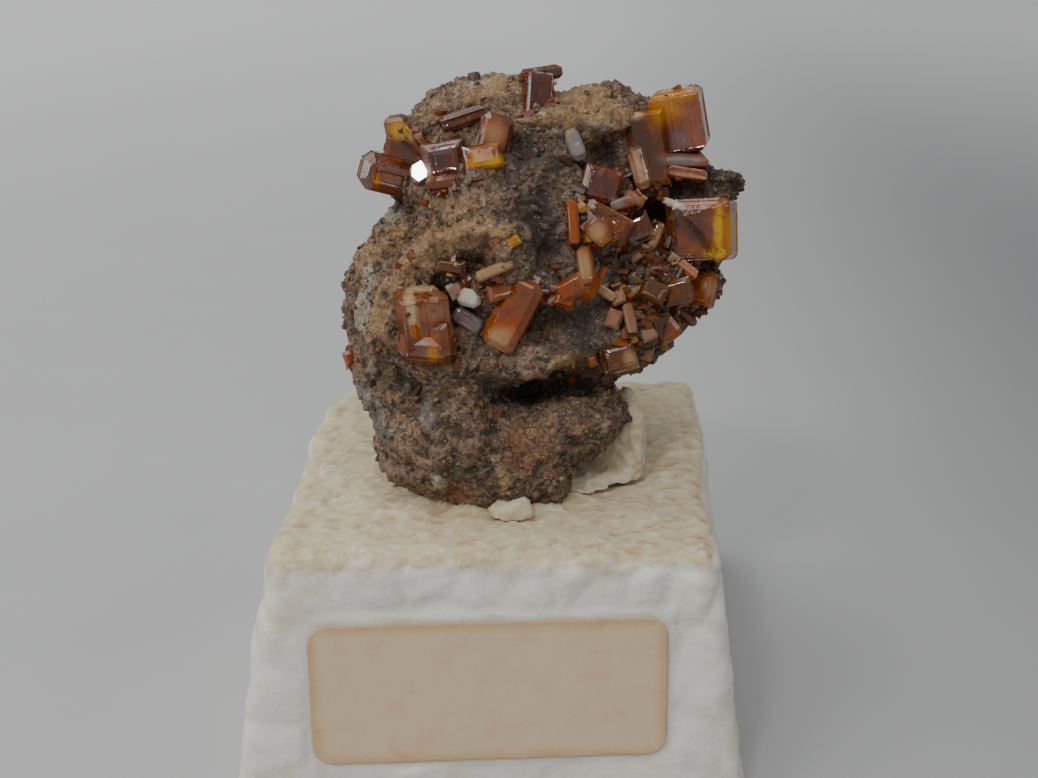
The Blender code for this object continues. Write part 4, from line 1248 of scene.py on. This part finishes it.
class SPECIMEN_OT_foam(bpy.types.Operator):
    """Builds the foam block with its fused beads and its knife-cut top"""
    bl_idname = "specimen.foam"
    bl_label = "Foam block"

    def execute(self, context):
        settings = context.scene.specimen_foam
        mesh = remeshed(node_mesh("foam_block"), settings.cell / MM, 5)
        rock = tree_of(node_mesh("matrix"))
        places, level = places_of(mesh), foam_level()
        # 1 on the cut top and 0 on the sides
        top = np.clip((normals_of(mesh)[:, 2] - 0.3) / 0.45, 0.0, 1.0) * (places[:, 2] > level - 2.5)
        side, seam = self.side_relief(places, level, settings)
        tufts = (field(places * np.array((0.8, 1.7, 1.0)), 0.8, ridges) * 0.1
                 + field(places * np.array((1.2, 2.2, 1.0)), 1.4, lumps) * 0.1)
        torn = closeness(places, rock, settings.torn_reach / MM)
        cut = field(places, 0.45, lumps) * 0.2 + tufts - 0.02
        cut += torn * np.clip(0.3 + field(places, 1.1, lumps, 4.0), 0.0, 1.2) * (
            settings.torn_height / MM)
        relief = side * (1.0 - top) + cut * top + field(places, 0.13, lumps) * 0.35
        relief += field(places, 2.4, lumps) * 0.03
        relief = self.under_label(places, relief)
        relief *= np.clip(places[:, 2] / 0.8, 0.0, 1.0)
        raise_points(mesh, relief)
        draw_to(mesh, rock, settings.seat_reach / MM, 0.0)
        fringe = 0.6 + 1.1 * np.abs(field(places * np.array((1.0, 1.0, 0.3)), 0.6, lumps))
        yellowed = np.clip(1.4 - (level - places[:, 2]) / fringe, 0, 1)
        set_values(mesh, "cut", np.maximum(top, yellowed))
        # How low the cut top lies between tufts, read for stain and painted shade in the hollows and
        # a painted highlight on the raised tufts
        set_values(mesh, "hollow", np.clip(0.45 - tufts * 3.5 + torn * 0.1, 0.0, 1.0) * top)
        set_values(mesh, "seam", seam * (1.0 - top))
        shown("foam", mesh, foam_material(settings), "foam", "foam_block")
        return {"FINISHED"}

    def side_relief(self, places, level, settings):
        """The height of the fused beads and dents on the sides, and 1 in the seams between beads."""
        squashed = places * np.array((1.0, 1.0, 1.15)) + 0.5 * places[:, [2, 0, 1]] * 0.3
        border = field(squashed, MM / settings.bead, cells)
        seam = np.clip(1.0 - border / 0.22, 0.0, 1.0) ** 1.5
        bulge = np.clip(border / 0.5, 0.0, 1.0)
        side = (bulge - 0.6) * 0.1 - seam * (settings.seam_depth / MM)
        rumpled = np.clip((places[:, 2] - level + 8.0) / 5.0, 0.2, 1.0)
        dents = np.clip(field(places, 0.34, cells, 5.0) / 0.4, 0.0, 1.0) - 0.8
        return side + rumpled * (field(places, 0.42, ridges) * 0.1 + dents * 0.28), seam

    def under_label(self, places, relief):
        """The relief with the foam behind the label kept no further out than the label's back."""
        low, high = (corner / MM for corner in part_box("paper_label"))
        behind = ((places[:, 0] > low.x - 0.4) & (places[:, 0] < high.x + 0.4)
                  & (places[:, 2] > low.z - 0.4) & (places[:, 2] < high.z + 0.4)
                  & (places[:, 1] < high.y + 2.0))
        return np.where(behind, np.minimum(relief * 0.3, 0.0), relief)


class SPECIMEN_OT_label(bpy.types.Operator):
    """Builds the bare paper label with its browned rim"""
    bl_idname = "specimen.label"
    bl_label = "Label"

    def execute(self, context):
        settings = context.scene.specimen_label
        form = node_mesh("paper_label")
        mesh = remeshed(form, settings.cell / MM)
        places = places_of(mesh)
        face = max(form.polygons, key=lambda polygon: polygon.area)
        out = face.normal.normalized()
        along = Vector((0, 0, 1)).cross(out).normalized()
        high = out.cross(along)
        flat = places - np.array(middle_of(form))
        side, rise = flat @ np.array(along), flat @ np.array(high)
        half_side, half_rise = np.abs(side).max(), np.abs(rise).max()
        rim = np.minimum(half_side - np.abs(side), half_rise - np.abs(rise))
        lifted = np.clip(1.0 - rim / 0.5, 0.0, 1.0) ** 2 * (0.3 + field(places, 0.6, lumps))
        curl = 0.04 * field(places, 0.25, lumps) + 0.05 * lifted
        set_places(mesh, places + np.array(out) * curl[:, None])
        set_values(mesh, "rim", np.clip(1.0 - rim / 1.2, 0.0, 1.0))
        shown("label", mesh, label_material(settings), "paper", "paper_label")
        return {"FINISHED"}


class SPECIMEN_OT_glue(bpy.types.Operator):
    """Builds the dried glue beside the foot"""
    bl_idname = "specimen.glue"
    bl_label = "Glue"

    def execute(self, context):
        settings = context.scene.specimen_glue
        material = glue_material()
        rock = places_of(node_mesh("matrix"))
        foot = Vector(rock[np.abs(rock[:, 2] - foam_level()) < 1.5].mean(axis=0))
        for name in ("glue_rim", "glue_front"):
            bead = node_mesh(name)
            inward = foot - middle_of(bead)
            inward.z = 0.0
            run_in = Matrix.Translation(inward.normalized() * RUN_STEP)
            runs = bmesh.new()
            for _ in range(settings.runs):
                runs.from_mesh(bead)
                bead.transform(run_in)
            mesh = remeshed(mesh_of(name, runs), settings.cell / MM, 2)
            places = places_of(mesh)
            raise_points(mesh, field(places, 0.8, lumps) * 0.22 + field(places, 2.4, lumps) * 0.06
                         + field(places, 1.2, ridges) * 0.06)
            shown(name.replace("glue", "dried_glue"), mesh, material, "glue", name)
        return {"FINISHED"}


class SPECIMEN_OT_stage(bpy.types.Operator):
    """Sets the floor, the camera and the soft light"""
    bl_idname = "specimen.stage"
    bl_label = "Stage"

    def execute(self, context):
        settings = context.scene.specimen_studio
        bm = bmesh.new()
        bmesh.ops.create_grid(bm, x_segments=1, y_segments=1, size=FLOOR_REACH)
        mesh = mesh_of("floor", bm)
        mesh.materials.append(floor_material(settings))
        object_of("floor", mesh)
        self.add_camera(context)
        for name, (place, side) in LIGHTS.items():
            self.add_light(name, Vector(place), side, getattr(settings, name))
        lamp_place = (bright_face()[0] + LAMP_WAY * LAMP_DISTANCE) * MM
        self.add_light("lamp", lamp_place, LAMP_SIDE, settings.lamp)
        world = bpy.data.worlds.new("studio")
        world.use_nodes = True
        sky = world.node_tree.nodes["Background"]
        sky.inputs["Color"].default_value = SKY_COLOUR
        sky.inputs["Strength"].default_value = settings.sky
        context.scene.world = world
        return {"FINISHED"}

    def add_camera(self, context):
        lens = bpy.data.cameras.new("photo_view")
        lens.lens = LENS
        lens.sensor_width = SENSOR
        lens.clip_start = MM
        camera = object_of("photo_view", lens)
        camera.location = EYE * MM
        camera.rotation_euler = (math.pi / 2 - SIGHT_PITCH, 0.0, 0.0)
        context.scene.camera = camera

    def add_light(self, name, place, side, watts):
        """Adds a square light that shines on the specimen."""
        lamp = bpy.data.lights.new(name, "AREA")
        lamp.shape = "SQUARE"
        lamp.size = side
        lamp.energy = watts
        light = object_of(name, lamp)
        light.location = place
        light.rotation_euler = (place - LIT_PLACE).to_track_quat("Z", "Y").to_euler()


class SPECIMEN_PT_panel(bpy.types.Panel):
    """Lists the specimen's pieces"""
    bl_idname = "SPECIMEN_PT_panel"
    bl_label = "Specimen"
    bl_space_type = "VIEW_3D"
    bl_region_type = "UI"
    bl_category = "Specimen"

    def draw(self, context):
        for operator in OPERATORS:
            self.layout.operator(operator.bl_idname)
        for group in SETTINGS:
            box = self.layout.box()
            settings = getattr(context.scene, group)
            for name in settings.bl_rna.properties.keys():
                if name not in ("rna_type", "name"):
                    box.prop(settings, name)


SETTINGS = {
    "specimen_rock": RockSettings,
    "specimen_crystals": CrystalSettings,
    "specimen_foam": FoamSettings,
    "specimen_label": LabelSettings,
    "specimen_glue": GlueSettings,
    "specimen_studio": StudioSettings,
}
OPERATORS = (
    SPECIMEN_OT_rock,
    SPECIMEN_OT_small_crystals,
    SPECIMEN_OT_crystals,
    SPECIMEN_OT_foam,
    SPECIMEN_OT_label,
    SPECIMEN_OT_glue,
    SPECIMEN_OT_stage,
)


def register():
    for group, settings in SETTINGS.items():
        bpy.utils.register_class(settings)
        setattr(bpy.types.Scene, group, bpy.props.PointerProperty(type=settings))
    for made in (*OPERATORS, SPECIMEN_PT_panel):
        bpy.utils.register_class(made)


def unregister():
    for made in (SPECIMEN_PT_panel, *reversed(OPERATORS)):
        bpy.utils.unregister_class(made)
    for group, settings in SETTINGS.items():
        delattr(bpy.types.Scene, group)
        bpy.utils.unregister_class(settings)


def main():
    register()
    bpy.ops.specimen.rock()
    bpy.ops.specimen.small_crystals()
    bpy.ops.specimen.crystals()
    bpy.ops.specimen.foam()
    bpy.ops.specimen.label()
    bpy.ops.specimen.glue()
    bpy.ops.specimen.stage()


if __name__ == "__main__":
    main()
